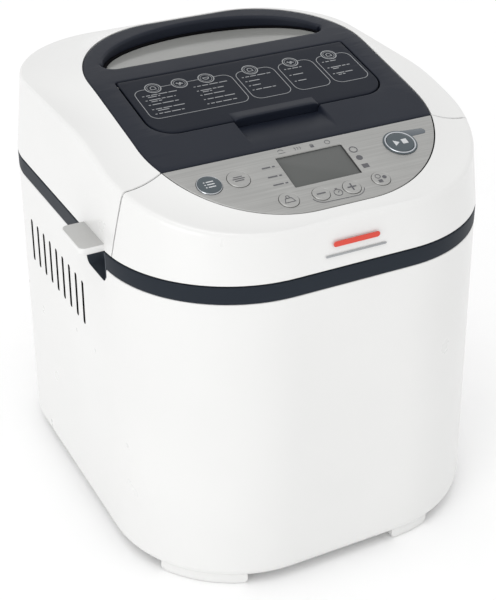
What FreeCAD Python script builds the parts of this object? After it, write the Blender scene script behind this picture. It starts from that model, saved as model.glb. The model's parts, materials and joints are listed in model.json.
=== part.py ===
import FreeCAD, Part
import math
import os
import Sketcher

# Countertop bread machine with a hinged lid, an ingredient dispenser and a sloping control console.
# Frame: millimetres, origin under the middle of the body at foot level, front towards -Y, +Z up.

Vector = FreeCAD.Vector
Rotation = FreeCAD.Rotation
Placement = FreeCAD.Placement

doc = FreeCAD.newDocument("BreadMachine")

# ---------------------------------------------------------------------------
# Driving dimensions
# ---------------------------------------------------------------------------

DIMENSIONS = {
    # casing in plan
    "BodyHalfWidth": 129.0,
    "BodyHalfDepth": 155.0,
    "FrontCornerRadius": 88.0,
    "RearCornerRadius": 75.0,
    "WallThickness": 2.5,
    # levels
    "FootHeight": 6.3,
    "BandBottom": 216.5,
    "BandTop": 228.2,
    "LidBottom": 229.0,
    "BottomRound": 8.0,
    "BaseFlare": 2.8,
    "FloorThickness": 4.0,
    "FloorOpeningInset": 14.0,
    "FootInset": 3.0,
    "FootWidth": 12.0,
    "InletX": 45.0,
    "InletZ": 36.0,
    "InletRadius": 6.5,
    # crease between the upper wall and the bevel
    "CreaseHalfWidth": 126.0,
    "CreaseFront": 152.0,
    "CreaseBack": 143.5,
    "CreaseFrontHeight": 260.0,
    "CreaseBackHeight": 288.5,
    "CreaseRiseDepth": 140.0,
    # inner edge of the white rim: the outline of cover and panel
    "RimHalfWidth": 100.0,
    "RimFront": 142.0,
    "RimBack": 87.0,
    "RimFrontRadius": 82.0,
    "RimBackRadius": 72.0,
    "RimClearance": 0.4,
    # control panel plane
    "PanelBackY": -85.9,
    "PanelBackZ": 280.8,
    "PanelAngle": 17.75,
    "PanelThickness": 2.0,
    # top profile of the cover
    "HatchFrontY": -52.4,
    "HatchFrontZ": 288.5,
    "HatchBackY": 11.8,
    "HatchBackZ": 301.5,
    "CoverBackZ": 309.0,
    "HatchHalfWidth": 83.5,
    "HatchGap": 0.8,
    "CoverThickness": 3.0,
    # seam between lid and console
    "SeamCreaseY": -89.0,
    "SeamCreaseZ": 272.7,
    "SeamBottomY": -80.2,
    "SeamHalfGap": 0.4,
    # viewing window
    "WindowHalfWidth": 84.0,
    "WindowFront": 31.0,
    "WindowDepth": 47.0,
    "GasketWidth": 3.5,
    "GlassHeight": 296.5,
    "GlassThickness": 3.0,
    # finger pockets and grip tabs
    "PocketFront": -71.0,
    "PocketBack": -38.0,
    "PocketBottom": 204.5,
    "PocketDepth": 11.0,
    "PocketCorner": 9.0,
    "TabOuter": 144.6,
    "TabTop": 234.0,
    # side vents
    "VentWidth": 3.0,
    "VentBottom": 153.3,
    "VentTop": 186.0,
    "VentBackY": 72.7,
    "VentPitch": 12.4,
    "VentCount": 9,
    # oven cavity
    "OvenHalfWidth": 104.0,
    "OvenFront": -50.0,
    "OvenBack": 110.0,
    "OvenCornerRadius": 20.0,
    "OvenFloor": 55.0,
    "SheetThickness": 1.0,
    "DeckTop": 226.5,
    "DeckThickness": 2.0,
    # bread pan
    "PanHalfWidth": 84.0,
    "PanHalfDepth": 62.0,
    "PanCentreY": 30.0,
    "PanCornerRadius": 22.0,
    "PanBottom": 66.0,
    "PanTop": 204.0,
    "PanWall": 1.5,
    "RimLip": 3.0,
    # kneading drive
    "ShaftRadius": 4.0,
    "BushRadius": 8.0,
    "RunningGap": 0.05,
    "LargePulleyRadius": 55.0,
    "PinionRadius": 10.0,
    "PulleyBottom": 18.0,
    "PulleyTop": 32.0,
    "BeltThickness": 1.6,
    "MotorY": -105.0,
    "MotorRadius": 34.0,
    "MotorBottom": 46.0,
    "MotorTop": 116.0,
    # lid hinge
    "HingeY": 142.0,
    "HingeZ": 242.0,
    "BarrelRadius": 9.0,
    "HingeHalfWidth": 68.0,
    "HingeLugOuter": 74.0,
    "HingeReliefHalfWidth": 90.0,
    "LidPinRadius": 3.0,
    # push buttons: place on the panel slope (across, up the slope) and cap radius
    "ButtonTravel": 0.8,
    "ButtonProud": 1.3,
    "ButtonGap": 0.3,
    "MenuAcross": -72.5,
    "MenuAlong": -18.9,
    "MenuRadius": 8.0,
    "SelectAcross": -53.2,
    "SelectAlong": -19.1,
    "SelectRadius": 7.2,
    "WeightAcross": -32.1,
    "WeightAlong": -44.9,
    "WeightRadius": 6.3,
    "MinusAcross": -10.8,
    "MinusAlong": -45.9,
    "MinusRadius": 5.6,
    "PlusAcross": 10.3,
    "PlusAlong": -46.3,
    "PlusRadius": 5.8,
    "CrustAcross": 31.7,
    "CrustAlong": -44.9,
    "CrustRadius": 6.0,
    "StartAcross": 60.7,
    "StartAlong": -18.9,
    "StartRadius": 8.8,
    "StartRingRadius": 11.2,
    "LampAcross": 76.0,
    "LampAlong": -12.5,
    "DisplayHalfWidth": 23.2,
    "DisplayBack": -8.2,
    "DisplayFront": -36.3,
}

sheet = doc.addObject("Spreadsheet::Sheet", "Dimensions")
for row, (alias, number) in enumerate(DIMENSIONS.items(), start=1):
    sheet.set(f"A{row}", alias)
    sheet.set(f"B{row}", str(number))
    sheet.setAlias(f"B{row}", alias)
doc.recompute()


class Size:
    """A length that carries its value and the spreadsheet expression that gives it."""

    def __init__(self, value, text):
        self.value = value
        self.text = text

    def __add__(self, other):
        return Size(self.value + value_of(other), f"({self.text} + {text_of(other)})")

    def __radd__(self, other):
        return Size(value_of(other) + self.value, f"({text_of(other)} + {self.text})")

    def __sub__(self, other):
        return Size(self.value - value_of(other), f"({self.text} - {text_of(other)})")

    def __rsub__(self, other):
        return Size(value_of(other) - self.value, f"({text_of(other)} - {self.text})")

    def __mul__(self, factor):
        return Size(self.value * factor, f"({self.text} * {factor})")

    def __neg__(self):
        return Size(-self.value, f"(-{self.text})")


class Sheet:
    """Sheet cells by name: D.BodyHalfWidth is the Size held by that alias."""

    def __getattr__(self, alias):
        return Size(DIMENSIONS[alias], f"Dimensions.{alias}")


D = Sheet()


def value_of(size):
    return size.value if isinstance(size, Size) else float(size)


def text_of(size):
    return size.text if isinstance(size, Size) else f"{float(size)}"


def bind(thing, path, size):
    thing.setExpression(path, text_of(size))


# ---------------------------------------------------------------------------
# Sketch helpers
# ---------------------------------------------------------------------------


class Outline:
    """A rectangle with one corner radius at its low side and one at its high side."""

    def __init__(self, x_low, x_high, y_low, y_high, low_radius=0.0, high_radius=0.0):
        self.sides = (x_low, x_high, y_low, y_high)
        self.radii = (low_radius, high_radius)

    def inset(self, gap):
        x_low, x_high, y_low, y_high = self.sides
        low_radius, high_radius = self.radii
        return Outline(x_low + gap, x_high - gap, y_low + gap, y_high - gap,
                       low_radius - gap, high_radius - gap)


def casing_outline(gap=0.0):
    """The casing's plan, moved inwards by gap."""
    return Outline(-D.BodyHalfWidth, D.BodyHalfWidth, -D.BodyHalfDepth, D.BodyHalfDepth,
                   D.FrontCornerRadius, D.RearCornerRadius).inset(gap)


def oven_outline(gap=0.0):
    """The oven liner's inner plan, moved inwards by gap."""
    return Outline(-D.OvenHalfWidth, D.OvenHalfWidth, D.OvenFront, D.OvenBack,
                   D.OvenCornerRadius, D.OvenCornerRadius).inset(gap)


def pan_outline(gap=0.0):
    """The bread pan's outer plan, moved inwards by gap."""
    return Outline(-D.PanHalfWidth, D.PanHalfWidth, D.PanCentreY - D.PanHalfDepth,
                   D.PanCentreY + D.PanHalfDepth, D.PanCornerRadius, D.PanCornerRadius).inset(gap)


def rim_outline(gap=0.0):
    """The inner edge of the white rim round cover and panel, moved inwards by gap."""
    return Outline(-D.RimHalfWidth, D.RimHalfWidth, -D.RimFront, D.RimBack,
                   D.RimFrontRadius, D.RimBackRadius).inset(gap)


def dimension(sketch, kind, geometry, point, size):
    """A horizontal or vertical distance from the sketch's origin, bound to its size."""
    constraint = Sketcher.Constraint(kind, -1, 1, geometry, point, value_of(size))
    index = sketch.addConstraint(constraint)
    sketch.setExpression(f"Constraints[{index}]", text_of(size))


def draw_outline(sketch, outline):
    x_low, x_high, y_low, y_high = (value_of(side) for side in outline.sides)
    low_radius, high_radius = (value_of(radius) for radius in outline.radii)
    corners = [(x_low, y_low, low_radius), (x_high, y_low, low_radius),
               (x_high, y_high, high_radius), (x_low, y_high, high_radius)]
    directions = [(1, 0), (0, 1), (-1, 0), (0, -1)]
    lines = []
    for side in range(4):
        x_start, y_start, start_radius = corners[side]
        x_end, y_end, end_radius = corners[(side + 1) % 4]
        dx, dy = directions[side]
        start = Vector(x_start + dx * start_radius, y_start + dy * start_radius, 0)
        end = Vector(x_end - dx * end_radius, y_end - dy * end_radius, 0)
        lines.append(sketch.addGeometry(Part.LineSegment(start, end), False))
    arcs = []
    for corner in range(4):
        x, y, radius = corners[corner]
        before = lines[corner - 1]
        after = lines[corner]
        if radius <= 0:
            sketch.addConstraint(Sketcher.Constraint("Coincident", before, 2, after, 1))
            continue
        x_sign = 1 if corner in (0, 3) else -1
        y_sign = 1 if corner in (0, 1) else -1
        centre = Vector(x + x_sign * radius, y + y_sign * radius, 0)
        begin = math.pi + corner * math.pi / 2
        circle = Part.Circle(centre, Vector(0, 0, 1), radius)
        arc = sketch.addGeometry(Part.ArcOfCircle(circle, begin, begin + math.pi / 2), False)
        sketch.addConstraint(Sketcher.Constraint("Tangent", before, 2, arc, 1))
        sketch.addConstraint(Sketcher.Constraint("Tangent", arc, 2, after, 1))
        arcs.append((arc, outline.radii[0] if corner in (0, 1) else outline.radii[1]))
    for side, direction in enumerate(("Horizontal", "Vertical", "Horizontal", "Vertical")):
        sketch.addConstraint(Sketcher.Constraint(direction, lines[side]))
    dimension(sketch, "DistanceX", lines[3], 1, outline.sides[0])
    dimension(sketch, "DistanceX", lines[1], 1, outline.sides[1])
    dimension(sketch, "DistanceY", lines[0], 1, outline.sides[2])
    dimension(sketch, "DistanceY", lines[2], 1, outline.sides[3])
    for arc, radius in arcs:
        index = sketch.addConstraint(Sketcher.Constraint("Radius", arc, value_of(radius)))
        sketch.setExpression(f"Constraints[{index}]", text_of(radius))


def draw_circle(sketch, x, y, radius):
    centre = Vector(value_of(x), value_of(y), 0)
    circle = Part.Circle(centre, Vector(0, 0, 1), value_of(radius))
    geometry = sketch.addGeometry(circle, False)
    dimension(sketch, "DistanceX", geometry, 3, x)
    dimension(sketch, "DistanceY", geometry, 3, y)
    index = sketch.addConstraint(Sketcher.Constraint("Radius", geometry, value_of(radius)))
    sketch.setExpression(f"Constraints[{index}]", text_of(radius))


def draw_polygon(sketch, points):
    """A closed polygon through points, each a pair of sizes."""
    corners = [Vector(value_of(x), value_of(y), 0) for x, y in points]
    lines = []
    for start, end in zip(corners, corners[1:] + corners[:1]):
        lines.append(sketch.addGeometry(Part.LineSegment(start, end), False))
    for line, following in zip(lines, lines[1:] + lines[:1]):
        sketch.addConstraint(Sketcher.Constraint("Coincident", line, 2, following, 1))
    for line, (x, y) in zip(lines, points):
        dimension(sketch, "DistanceX", line, 1, x)
        dimension(sketch, "DistanceY", line, 1, y)


def new_body(label):
    body = doc.addObject("PartDesign::Body", label)
    body.Label = label
    return body


def new_sketch(body, name, plane, level):
    sketch = body.newObject("Sketcher::SketchObject", name)
    support = next(f for f in body.Origin.OriginFeatures if f.Role == plane)
    sketch.AttachmentSupport = [(support, "")]
    sketch.MapMode = "FlatFace"
    bind(sketch, "AttachmentOffset.Base.z", level)
    return sketch


def add_pad(body, name, low, high, outlines=(), circles=(), plane="XY_Plane"):
    """A pad from low to high: the outermost outline or circle less those inside it."""
    sketch = new_sketch(body, f"{name}Sketch", plane, low)
    for outline in outlines:
        if isinstance(outline, Outline):
            draw_outline(sketch, outline)
        else:
            draw_polygon(sketch, outline)
    for x, y, radius in circles:
        draw_circle(sketch, x, y, radius)
    pad = body.newObject("PartDesign::Pad", name)
    pad.Profile = sketch
    bind(pad, "Length", high - low)
    sketch.Visibility = False
    return pad


def add_loft(body, kind, name, levels):
    """A straight-sided loft, added or cut away, through an outline at each of the levels."""
    sketches = []
    for index, (level, outline) in enumerate(levels, start=1):
        sketch = new_sketch(body, f"{name}Sketch{index}", "XY_Plane", level)
        draw_outline(sketch, outline)
        sketch.Visibility = False
        sketches.append(sketch)
    loft = body.newObject(f"PartDesign::{kind}", name)
    loft.Profile = sketches[0]
    loft.Sections = sketches[1:]
    loft.Ruled = True
    return loft


def flat_body(label, low, high, outlines=(), circles=(), plane="XY_Plane"):
    body = new_body(label)
    add_pad(body, f"{label}_pad", low, high, outlines, circles, plane)
    return body


def cut_through(body, name, outline):
    """A pocket through the whole body along X, both ways from its middle plane."""
    sketch = new_sketch(body, f"{name}Sketch", "YZ_Plane", 0.0)
    draw_outline(sketch, outline)
    pocket = body.newObject("PartDesign::Pocket", name)
    pocket.Profile = sketch
    pocket.Type = "ThroughAll"
    pocket.SideType = "Symmetric"
    return pocket


# ---------------------------------------------------------------------------
# Part primitive helpers
# ---------------------------------------------------------------------------


def box(label, x, y, z):
    """A box between two corners: each of x, y and z is a low and a high size."""
    solid = doc.addObject("Part::Box", label)
    solid.Label = label
    for length, axis, (low, high) in zip(("Length", "Width", "Height"), "xyz", (x, y, z)):
        bind(solid, length, high - low)
        bind(solid, f"Placement.Base.{axis}", low)
    return solid


def cylinder(label, base, height, radius, axis="z"):
    """A cylinder from its base centre along +x, +y or +z."""
    solid = doc.addObject("Part::Cylinder", label)
    solid.Label = label
    turn = {"x": Rotation(Vector(0, 1, 0), 90), "y": Rotation(Vector(1, 0, 0), -90), "z": Rotation()}
    solid.Placement = Placement(Vector(*(value_of(c) for c in base)), turn[axis])
    bind(solid, "Radius", radius)
    bind(solid, "Height", height)
    for letter, coordinate in zip("xyz", base):
        bind(solid, f"Placement.Base.{letter}", coordinate)
    return solid


def fuse(label, pieces):
    union = doc.addObject("Part::MultiFuse", label)
    union.Label = label
    union.Shapes = pieces
    return union


def cut(label, base, *tools):
    tool = tools[0] if len(tools) == 1 else fuse(f"{label}_tools", list(tools))
    result = doc.addObject("Part::Cut", label)
    result.Label = label
    result.Base = base
    result.Tool = tool
    return result


def common(label, *pieces):
    result = doc.addObject("Part::MultiCommon", label)
    result.Label = label
    result.Shapes = list(pieces)
    return result


def compound(label, pieces):
    group = doc.addObject("Part::Compound", label)
    group.Label = label
    group.Links = pieces
    return group


def profile_slab(label, points, half_width):
    """A prism along X with a YZ polygon as its section."""
    return flat_body(label, -half_width, half_width, [points], plane="YZ_Plane")


def window_block(label, low, high, gap=0.0):
    """A block with the window's outline moved inwards by gap: half an ellipse behind a straight front."""
    edge = doc.addObject("Part::Ellipse", f"{label}_edge")
    bind(edge, "MajorRadius", D.WindowHalfWidth - gap)
    bind(edge, "MinorRadius", D.WindowDepth - gap)
    bind(edge, "Placement.Base.y", D.WindowFront)
    bind(edge, "Placement.Base.z", low)
    oval = doc.addObject("Part::Extrusion", f"{label}_oval")
    oval.Base = edge
    oval.DirMode = "Custom"
    oval.Dir = Vector(0, 0, 1)
    oval.Solid = True
    bind(oval, "LengthFwd", high - low)
    back_half = box(f"{label}_back_half", (-D.BodyHalfWidth, D.BodyHalfWidth),
                    (D.WindowFront + gap, D.BodyHalfDepth), (low, high))
    return common(label, oval, back_half)


def shaped(label, shape):
    feature = doc.addObject("Part::Feature", label)
    feature.Label = label
    feature.Shape = shape
    return feature


PANEL_PLACEMENT = Placement(
    Vector(0, DIMENSIONS["PanelBackY"], DIMENSIONS["PanelBackZ"]),
    Rotation(Vector(1, 0, 0), DIMENSIONS["PanelAngle"]))


def on_panel(piece):
    """Sets a piece made flat at the origin onto the control panel's slope."""
    piece.Placement = PANEL_PLACEMENT
    bind(piece, "Placement.Base.y", D.PanelBackY)
    bind(piece, "Placement.Base.z", D.PanelBackZ)
    bind(piece, "Placement.Rotation.Angle", D.PanelAngle)
    return piece


NODES = []


def node(piece):
    """Marks a finished sub-part, which is written to a file named by its label."""
    NODES.append(piece)
    return piece


# ---------------------------------------------------------------------------
# Upper casing: one white ring, parted by the seam into lid and console
# ---------------------------------------------------------------------------


def crease_height(y):
    """The crease climbs from the console's front to the lid in one soft S."""
    share = min(1.0, (y + D.CreaseFront.value) / D.CreaseRiseDepth.value)
    rise = D.CreaseBackHeight.value - D.CreaseFrontHeight.value
    return D.CreaseFrontHeight.value + rise * math.sin(math.pi / 2 * max(0.0, share) ** 1.4)


def top_height(y):
    """The top profile in side view: panel slope, hatch slope, gentler rise to the back."""
    back_y, back_z = D.PanelBackY.value, D.PanelBackZ.value
    if y <= back_y:
        return back_z + (y - back_y) * math.tan(math.radians(D.PanelAngle.value))
    if y <= D.HatchFrontY.value:
        share = (y - back_y) / (D.HatchFrontY.value - back_y)
        return back_z + share * (D.HatchFrontZ.value - back_z)
    if y <= D.HatchBackY.value:
        share = (y - D.HatchFrontY.value) / (D.HatchBackY.value - D.HatchFrontY.value)
        return D.HatchFrontZ.value + share * (D.HatchBackZ.value - D.HatchFrontZ.value)
    share = (y - D.HatchBackY.value) / (D.RimBack.value - D.HatchBackY.value)
    return D.HatchBackZ.value + share * (D.CoverBackZ.value - D.HatchBackZ.value)


def half_outline(half_width, front, back, front_radius, back_radius):
    """Stations along the right half of an outline, from its front middle to its back middle."""
    points = []
    for step in range(3):
        points.append((step / 3 * (half_width - front_radius), -front))
    for step in range(11):
        angle = math.radians(-90 + 9 * step)
        points.append((half_width - front_radius * (1 - math.cos(angle)),
                       -front + front_radius * (1 + math.sin(angle))))
    side_start = -front + front_radius
    side_end = back - back_radius
    for step in range(1, 8):
        points.append((half_width, side_start + step / 8 * (side_end - side_start)))
    for step in range(11):
        angle = math.radians(9 * step)
        points.append((half_width - back_radius * (1 - math.cos(angle)),
                       back - back_radius * (1 - math.sin(angle))))
    for step in range(1, 4):
        points.append(((1 - step / 3) * (half_width - back_radius), back))
    return points


def section(points, height):
    return [Vector(x, y, height(y)) for x, y in points]


def blend_sections(first, second, share, sag):
    """A section part of the way between two, sunk by sag."""
    return [a + (b - a) * share - Vector(0, 0, sag) for a, b in zip(first, second)]


def lowered(points, drop):
    return [point - Vector(0, 0, drop) for point in points]


def upper_ring_shape():
    half_width = D.BodyHalfWidth.value
    depth = D.BodyHalfDepth.value
    wall = D.WallThickness.value
    front_radius = D.FrontCornerRadius.value
    back_radius = D.RearCornerRadius.value
    bottom = half_outline(half_width, depth, depth, front_radius, back_radius)
    bottom_inner = half_outline(half_width - wall, depth - wall, depth - wall,
                                front_radius - wall, back_radius - wall)
    crease = half_outline(D.CreaseHalfWidth.value, D.CreaseFront.value, D.CreaseBack.value,
                          front_radius, back_radius)
    crease_inner = half_outline(D.CreaseHalfWidth.value - wall, D.CreaseFront.value - wall,
                                D.CreaseBack.value - wall, front_radius - wall, back_radius - wall)
    rim = half_outline(D.RimHalfWidth.value, D.RimFront.value, D.RimBack.value,
                       D.RimFrontRadius.value, D.RimBackRadius.value)
    outer_bottom = section(bottom, lambda y: D.LidBottom.value)
    outer_crease = section(crease, crease_height)
    outer_rim = section(rim, top_height)
    outer_mid = blend_sections(outer_crease, outer_rim, 0.6, 1.2)
    inner_rim = lowered(outer_rim, wall)
    inner_crease = lowered(section(crease_inner, crease_height), wall * 0.7)
    inner_mid = blend_sections(inner_crease, inner_rim, 0.6, 1.2)
    inner_bottom = section(bottom_inner, lambda y: D.LidBottom.value)
    loop = [outer_bottom, outer_crease, outer_mid, outer_rim,
            inner_rim, inner_mid, inner_crease, inner_bottom]
    edges = []
    for points in loop:
        curve = Part.BSplineCurve()
        curve.interpolate(Points=points, InitialTangent=Vector(1, 0, 0), FinalTangent=Vector(-1, 0, 0))
        edges.append(curve.toShape())
    faces = []
    for first, second in zip(edges, edges[1:] + edges[:1]):
        face = Part.makeRuledSurface(first, second)
        faces.append(face)
        faces.append(face.mirror(Vector(0, 0, 0), Vector(1, 0, 0)))
    shell = Part.makeShell(faces)
    shell.sewShape()
    solid = Part.makeSolid(Part.Shell(shell.Faces))
    if solid.Volume < 0:
        solid.reverse()
    return solid


def seam_points(shift, far_y):
    """The seam's side view, moved by shift along Y, closed round the far side."""
    top = 320.0
    bottom = 200.0
    return [(D.SeamBottomY + shift, bottom), (D.SeamBottomY + shift, D.LidBottom),
            (D.SeamCreaseY + shift, D.SeamCreaseZ), (D.PanelBackY + shift, D.PanelBackZ),
            (D.PanelBackY + shift, top), (far_y, top), (far_y, bottom)]


lid_side = profile_slab("lid_side_region", seam_points(-D.SeamHalfGap, 200.0), D.BodyHalfWidth * 1.2)
console_side = profile_slab("console_side_region", seam_points(D.SeamHalfGap, -200.0),
                            D.BodyHalfWidth * 1.2)

hinge_relief = fuse("hinge_relief", [
    cylinder("hinge_relief_round", (-D.HingeReliefHalfWidth, D.HingeY, D.HingeZ),
             D.HingeReliefHalfWidth * 2, D.BarrelRadius + 0.8, "x"),
    box("hinge_relief_block", (-D.HingeReliefHalfWidth, D.HingeReliefHalfWidth),
        (D.HingeY - D.BarrelRadius - 0.8, D.BodyHalfDepth + 5.0), (220.0, D.HingeZ))])

ring_for_lid = shaped("upper_ring_for_lid", upper_ring_shape())
ring_for_console = shaped("upper_ring_for_console", upper_ring_shape())
node(cut("lid_shell", ring_for_lid, console_side, hinge_relief))
node(cut("console_shell", ring_for_console, lid_side))

# ---------------------------------------------------------------------------
# Lower casing
# ---------------------------------------------------------------------------

shell_floor = D.FootHeight + D.FloorThickness
body_shell = new_body("body_shell")
add_loft(body_shell, "AdditiveLoft", "ShellBlock", [
    (D.FootHeight, casing_outline(D.BottomRound * 0.5 - D.BaseFlare)),
    (D.FootHeight + D.BottomRound, casing_outline(-D.BaseFlare)),
    (D.BandBottom, casing_outline())])
add_loft(body_shell, "SubtractiveLoft", "ShellHollow", [
    (shell_floor, casing_outline(D.WallThickness - D.BaseFlare)),
    (D.BandBottom, casing_outline(D.WallThickness))])
floor_sketch = new_sketch(body_shell, "FloorOpeningSketch", "XY_Plane", D.FootHeight)
draw_outline(floor_sketch, casing_outline(D.FloorOpeningInset))
floor_opening = body_shell.newObject("PartDesign::Pocket", "FloorOpening")
floor_opening.Profile = floor_sketch
floor_opening.SideType = "Symmetric"
bind(floor_opening, "Length", D.FloorThickness * 3)
cut_through(body_shell, "PocketCutout", Outline(
    D.PocketFront, D.PocketBack, D.PocketBottom, D.BandBottom + 5.0, D.PocketCorner, 0.0))
inlet_sketch = new_sketch(body_shell, "InletSketch", "XZ_Plane", 3.0 - D.BodyHalfDepth)
draw_circle(inlet_sketch, D.InletX, D.InletZ, D.InletRadius)
inlet_pocket = body_shell.newObject("PartDesign::Pocket", "InletHole")
inlet_pocket.Profile = inlet_sketch
inlet_pocket.SideType = "Symmetric"
inlet_pocket.Length = 14.0
vent = cut_through(body_shell, "Vent", Outline(
    D.VentBackY - D.VentWidth * 0.5, D.VentBackY + D.VentWidth * 0.5,
    D.VentBottom, D.VentTop, 1.4, 1.4))
vents = body_shell.newObject("PartDesign::LinearPattern", "Vents")
vents.Originals = [vent]
vents.Direction = (vent.Profile[0], ["H_Axis"])
vents.Reversed = True
bind(vents, "Occurrences", D.VentCount)
bind(vents, "Length", D.VentPitch * (DIMENSIONS["VentCount"] - 1))
body_shell.Tip = vents
node(body_shell)

base_plate = flat_body(
    "base_plate", D.FootHeight, D.FootHeight + 2.0, [casing_outline(D.FloorOpeningInset + 0.3)],
    [(x, y, 1.6) for x in (-80.0, 80.0) for y in (-100.0, 110.0)])
node(base_plate)

screws = []
for x in (-80.0, 80.0):
    for y in (-100.0, 110.0):
        name = f"screw_{'left' if x < 0 else 'right'}_{'front' if y < 0 else 'back'}"
        screws.append(fuse(name, [
            cylinder(f"{name}_head", (x, y, D.FootHeight - 1.8), 1.8, 3.0),
            cylinder(f"{name}_shank", (x, y, D.FootHeight), 8.0, 1.5)]))
node(compound("case_screws", screws))

# trim band with its two finger pockets
band_ring = flat_body("band_ring", D.BandBottom, D.BandTop, [casing_outline(), casing_outline(9.0)])
pocket_inner = D.BodyHalfWidth - D.PocketDepth
cups = []
cup_hollows = []
for side, name in ((-1, "left"), (1, "right")):
    inner_x = pocket_inner - 2.0
    outer_x = D.BodyHalfWidth - D.WallThickness - 0.2
    cup_x = (inner_x, outer_x) if side > 0 else (-outer_x, -inner_x)
    hollow_x = (pocket_inner, D.BodyHalfWidth + 5.0) if side > 0 else (-D.BodyHalfWidth - 5.0, -pocket_inner)
    cups.append(box(f"cup_{name}", cup_x, (D.PocketFront - 2.0, D.PocketBack + 2.0),
                    (D.PocketBottom - 2.0, D.BandTop)))
    cup_hollows.append(box(f"cup_hollow_{name}", hollow_x, (D.PocketFront, D.PocketBack),
                           (D.PocketBottom, D.BandTop + 5.0)))
node(cut("trim_band", fuse("band_with_cups", [band_ring] + cups), *cup_hollows))

# feet: arcs that follow the corners
def corner_foot(label, x, y, outer_radius, first_angle, sweep):
    """A curved foot under one corner, made by turning its section about the corner's centre."""
    foot = new_body(label)
    sketch = new_sketch(foot, f"{label}_section", "XZ_Plane", 0.0)
    draw_outline(sketch, Outline(outer_radius - D.FootWidth, outer_radius, 0.0, D.FootHeight))
    turned = foot.newObject("PartDesign::Revolution", f"{label}_turn")
    turned.Profile = sketch
    turned.ReferenceAxis = (sketch, ["V_Axis"])
    turned.Angle = sweep
    foot.Placement = Placement(Vector(value_of(x), value_of(y), 0), Rotation(Vector(0, 0, 1), first_angle))
    bind(foot, "Placement.Base.x", x)
    bind(foot, "Placement.Base.y", y)
    return foot


front_centre_x = D.BodyHalfWidth - D.FrontCornerRadius
front_centre_y = D.FrontCornerRadius - D.BodyHalfDepth
rear_centre_x = D.BodyHalfWidth - D.RearCornerRadius
rear_centre_y = D.BodyHalfDepth - D.RearCornerRadius
front_foot_radius = D.FrontCornerRadius + D.BaseFlare - D.FootInset
rear_foot_radius = D.RearCornerRadius + D.BaseFlare - D.FootInset
node(corner_foot("front_foot_left", -front_centre_x, front_centre_y, front_foot_radius, 209.5, 40.0))
node(corner_foot("front_foot_right", front_centre_x, front_centre_y, front_foot_radius, 268.0, 20.0))
node(compound("rear_feet", [
    corner_foot("rear_foot_left", -rear_centre_x, rear_centre_y, rear_foot_radius, 120.0, 30.0),
    corner_foot("rear_foot_right", rear_centre_x, rear_centre_y, rear_foot_radius, 30.0, 30.0)]))

# fixed rear hinge barrel, its pin and the cord inlet
barrel_pieces = []
for name, low, high in (("middle", -D.HingeHalfWidth, D.HingeHalfWidth),
                        ("left", -D.HingeLugOuter - 10.0, -D.HingeLugOuter - 2.0),
                        ("right", D.HingeLugOuter + 2.0, D.HingeLugOuter + 10.0)):
    barrel_pieces.append(cylinder(f"barrel_{name}", (low, D.HingeY, D.HingeZ), high - low,
                                  D.BarrelRadius, "x"))
    barrel_pieces.append(box(f"barrel_foot_{name}", (low, high), (D.HingeY - D.BarrelRadius, D.HingeY),
                             (D.BandTop, D.HingeZ)))
barrel_pieces.append(box("barrel_bridge", (-D.HingeLugOuter - 10.0, D.HingeLugOuter + 10.0),
                         (D.HingeY - D.BarrelRadius, D.HingeY), (D.BandTop, D.BandTop + 1.5)))
node(cut("hinge_cover", fuse("barrel_blank", barrel_pieces), cylinder(
    "barrel_bore", (-D.HingeHalfWidth - 1.0, D.HingeY, D.HingeZ), D.HingeHalfWidth * 2 + 2.0,
    D.LidPinRadius + D.RunningGap, "x")))
node(cylinder("lid_hinge_pin", (-D.HingeLugOuter, D.HingeY, D.HingeZ), D.HingeLugOuter * 2,
              D.LidPinRadius, "x"))
inlet_hole = cylinder("inlet_hole", (D.InletX, D.BodyHalfDepth - 20.0, D.InletZ), 30.0, 3.6, "y")
node(cut("cord_inlet", fuse("inlet_blank", [
    cylinder("inlet_sleeve", (D.InletX, D.BodyHalfDepth - 14.0, D.InletZ), 13.9, D.InletRadius, "y"),
    cylinder("inlet_flange", (D.InletX, D.BodyHalfDepth - 6.0, D.InletZ), 3.5, 9.0, "y")]), inlet_hole))

# ---------------------------------------------------------------------------
# Oven cavity
# ---------------------------------------------------------------------------

deck_plate = flat_body("deck_plate", D.DeckTop - D.DeckThickness, D.DeckTop, [
    casing_outline(9.3), oven_outline(-0.4), Outline(-60.0, 60.0, -132.0, -88.0)])
cup_reach = D.BodyHalfWidth - D.PocketDepth - 2.2
deck_notches = [box(f"deck_notch_{name}", x, (D.PocketFront - 2.2, D.PocketBack + 2.2), (220.0, 230.0))
                for name, x in (("left", (-150.0, -cup_reach)), ("right", (cup_reach, 150.0)))]
node(cut("top_deck", deck_plate, *deck_notches))

oven_liner = new_body("oven_liner")
add_pad(oven_liner, "LinerWall", D.OvenFloor, D.DeckTop + 0.3, [oven_outline(-D.SheetThickness + 0.7),
                                                              oven_outline(0.7)])
add_pad(oven_liner, "LinerFloor", D.OvenFloor, D.OvenFloor + D.SheetThickness,
        [oven_outline(-D.SheetThickness + 0.7)], [(0.0, D.PanCentreY, D.BushRadius)])
add_pad(oven_liner, "PanSeat", D.OvenFloor, D.PanBottom - 0.2, [], [
    (0.0, D.PanCentreY, 41.0), (0.0, D.PanCentreY, 39.0)])
heater_sketch = new_sketch(oven_liner, "HeaterHolesSketch", "YZ_Plane", D.OvenHalfWidth)
for y in (22.0, 38.0):
    draw_circle(heater_sketch, y, 85.0, 3.3)
heater_holes = oven_liner.newObject("PartDesign::Pocket", "HeaterHoles")
heater_holes.Profile = heater_sketch
heater_holes.SideType = "Symmetric"
heater_holes.Length = 8.0
node(oven_liner)


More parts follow.
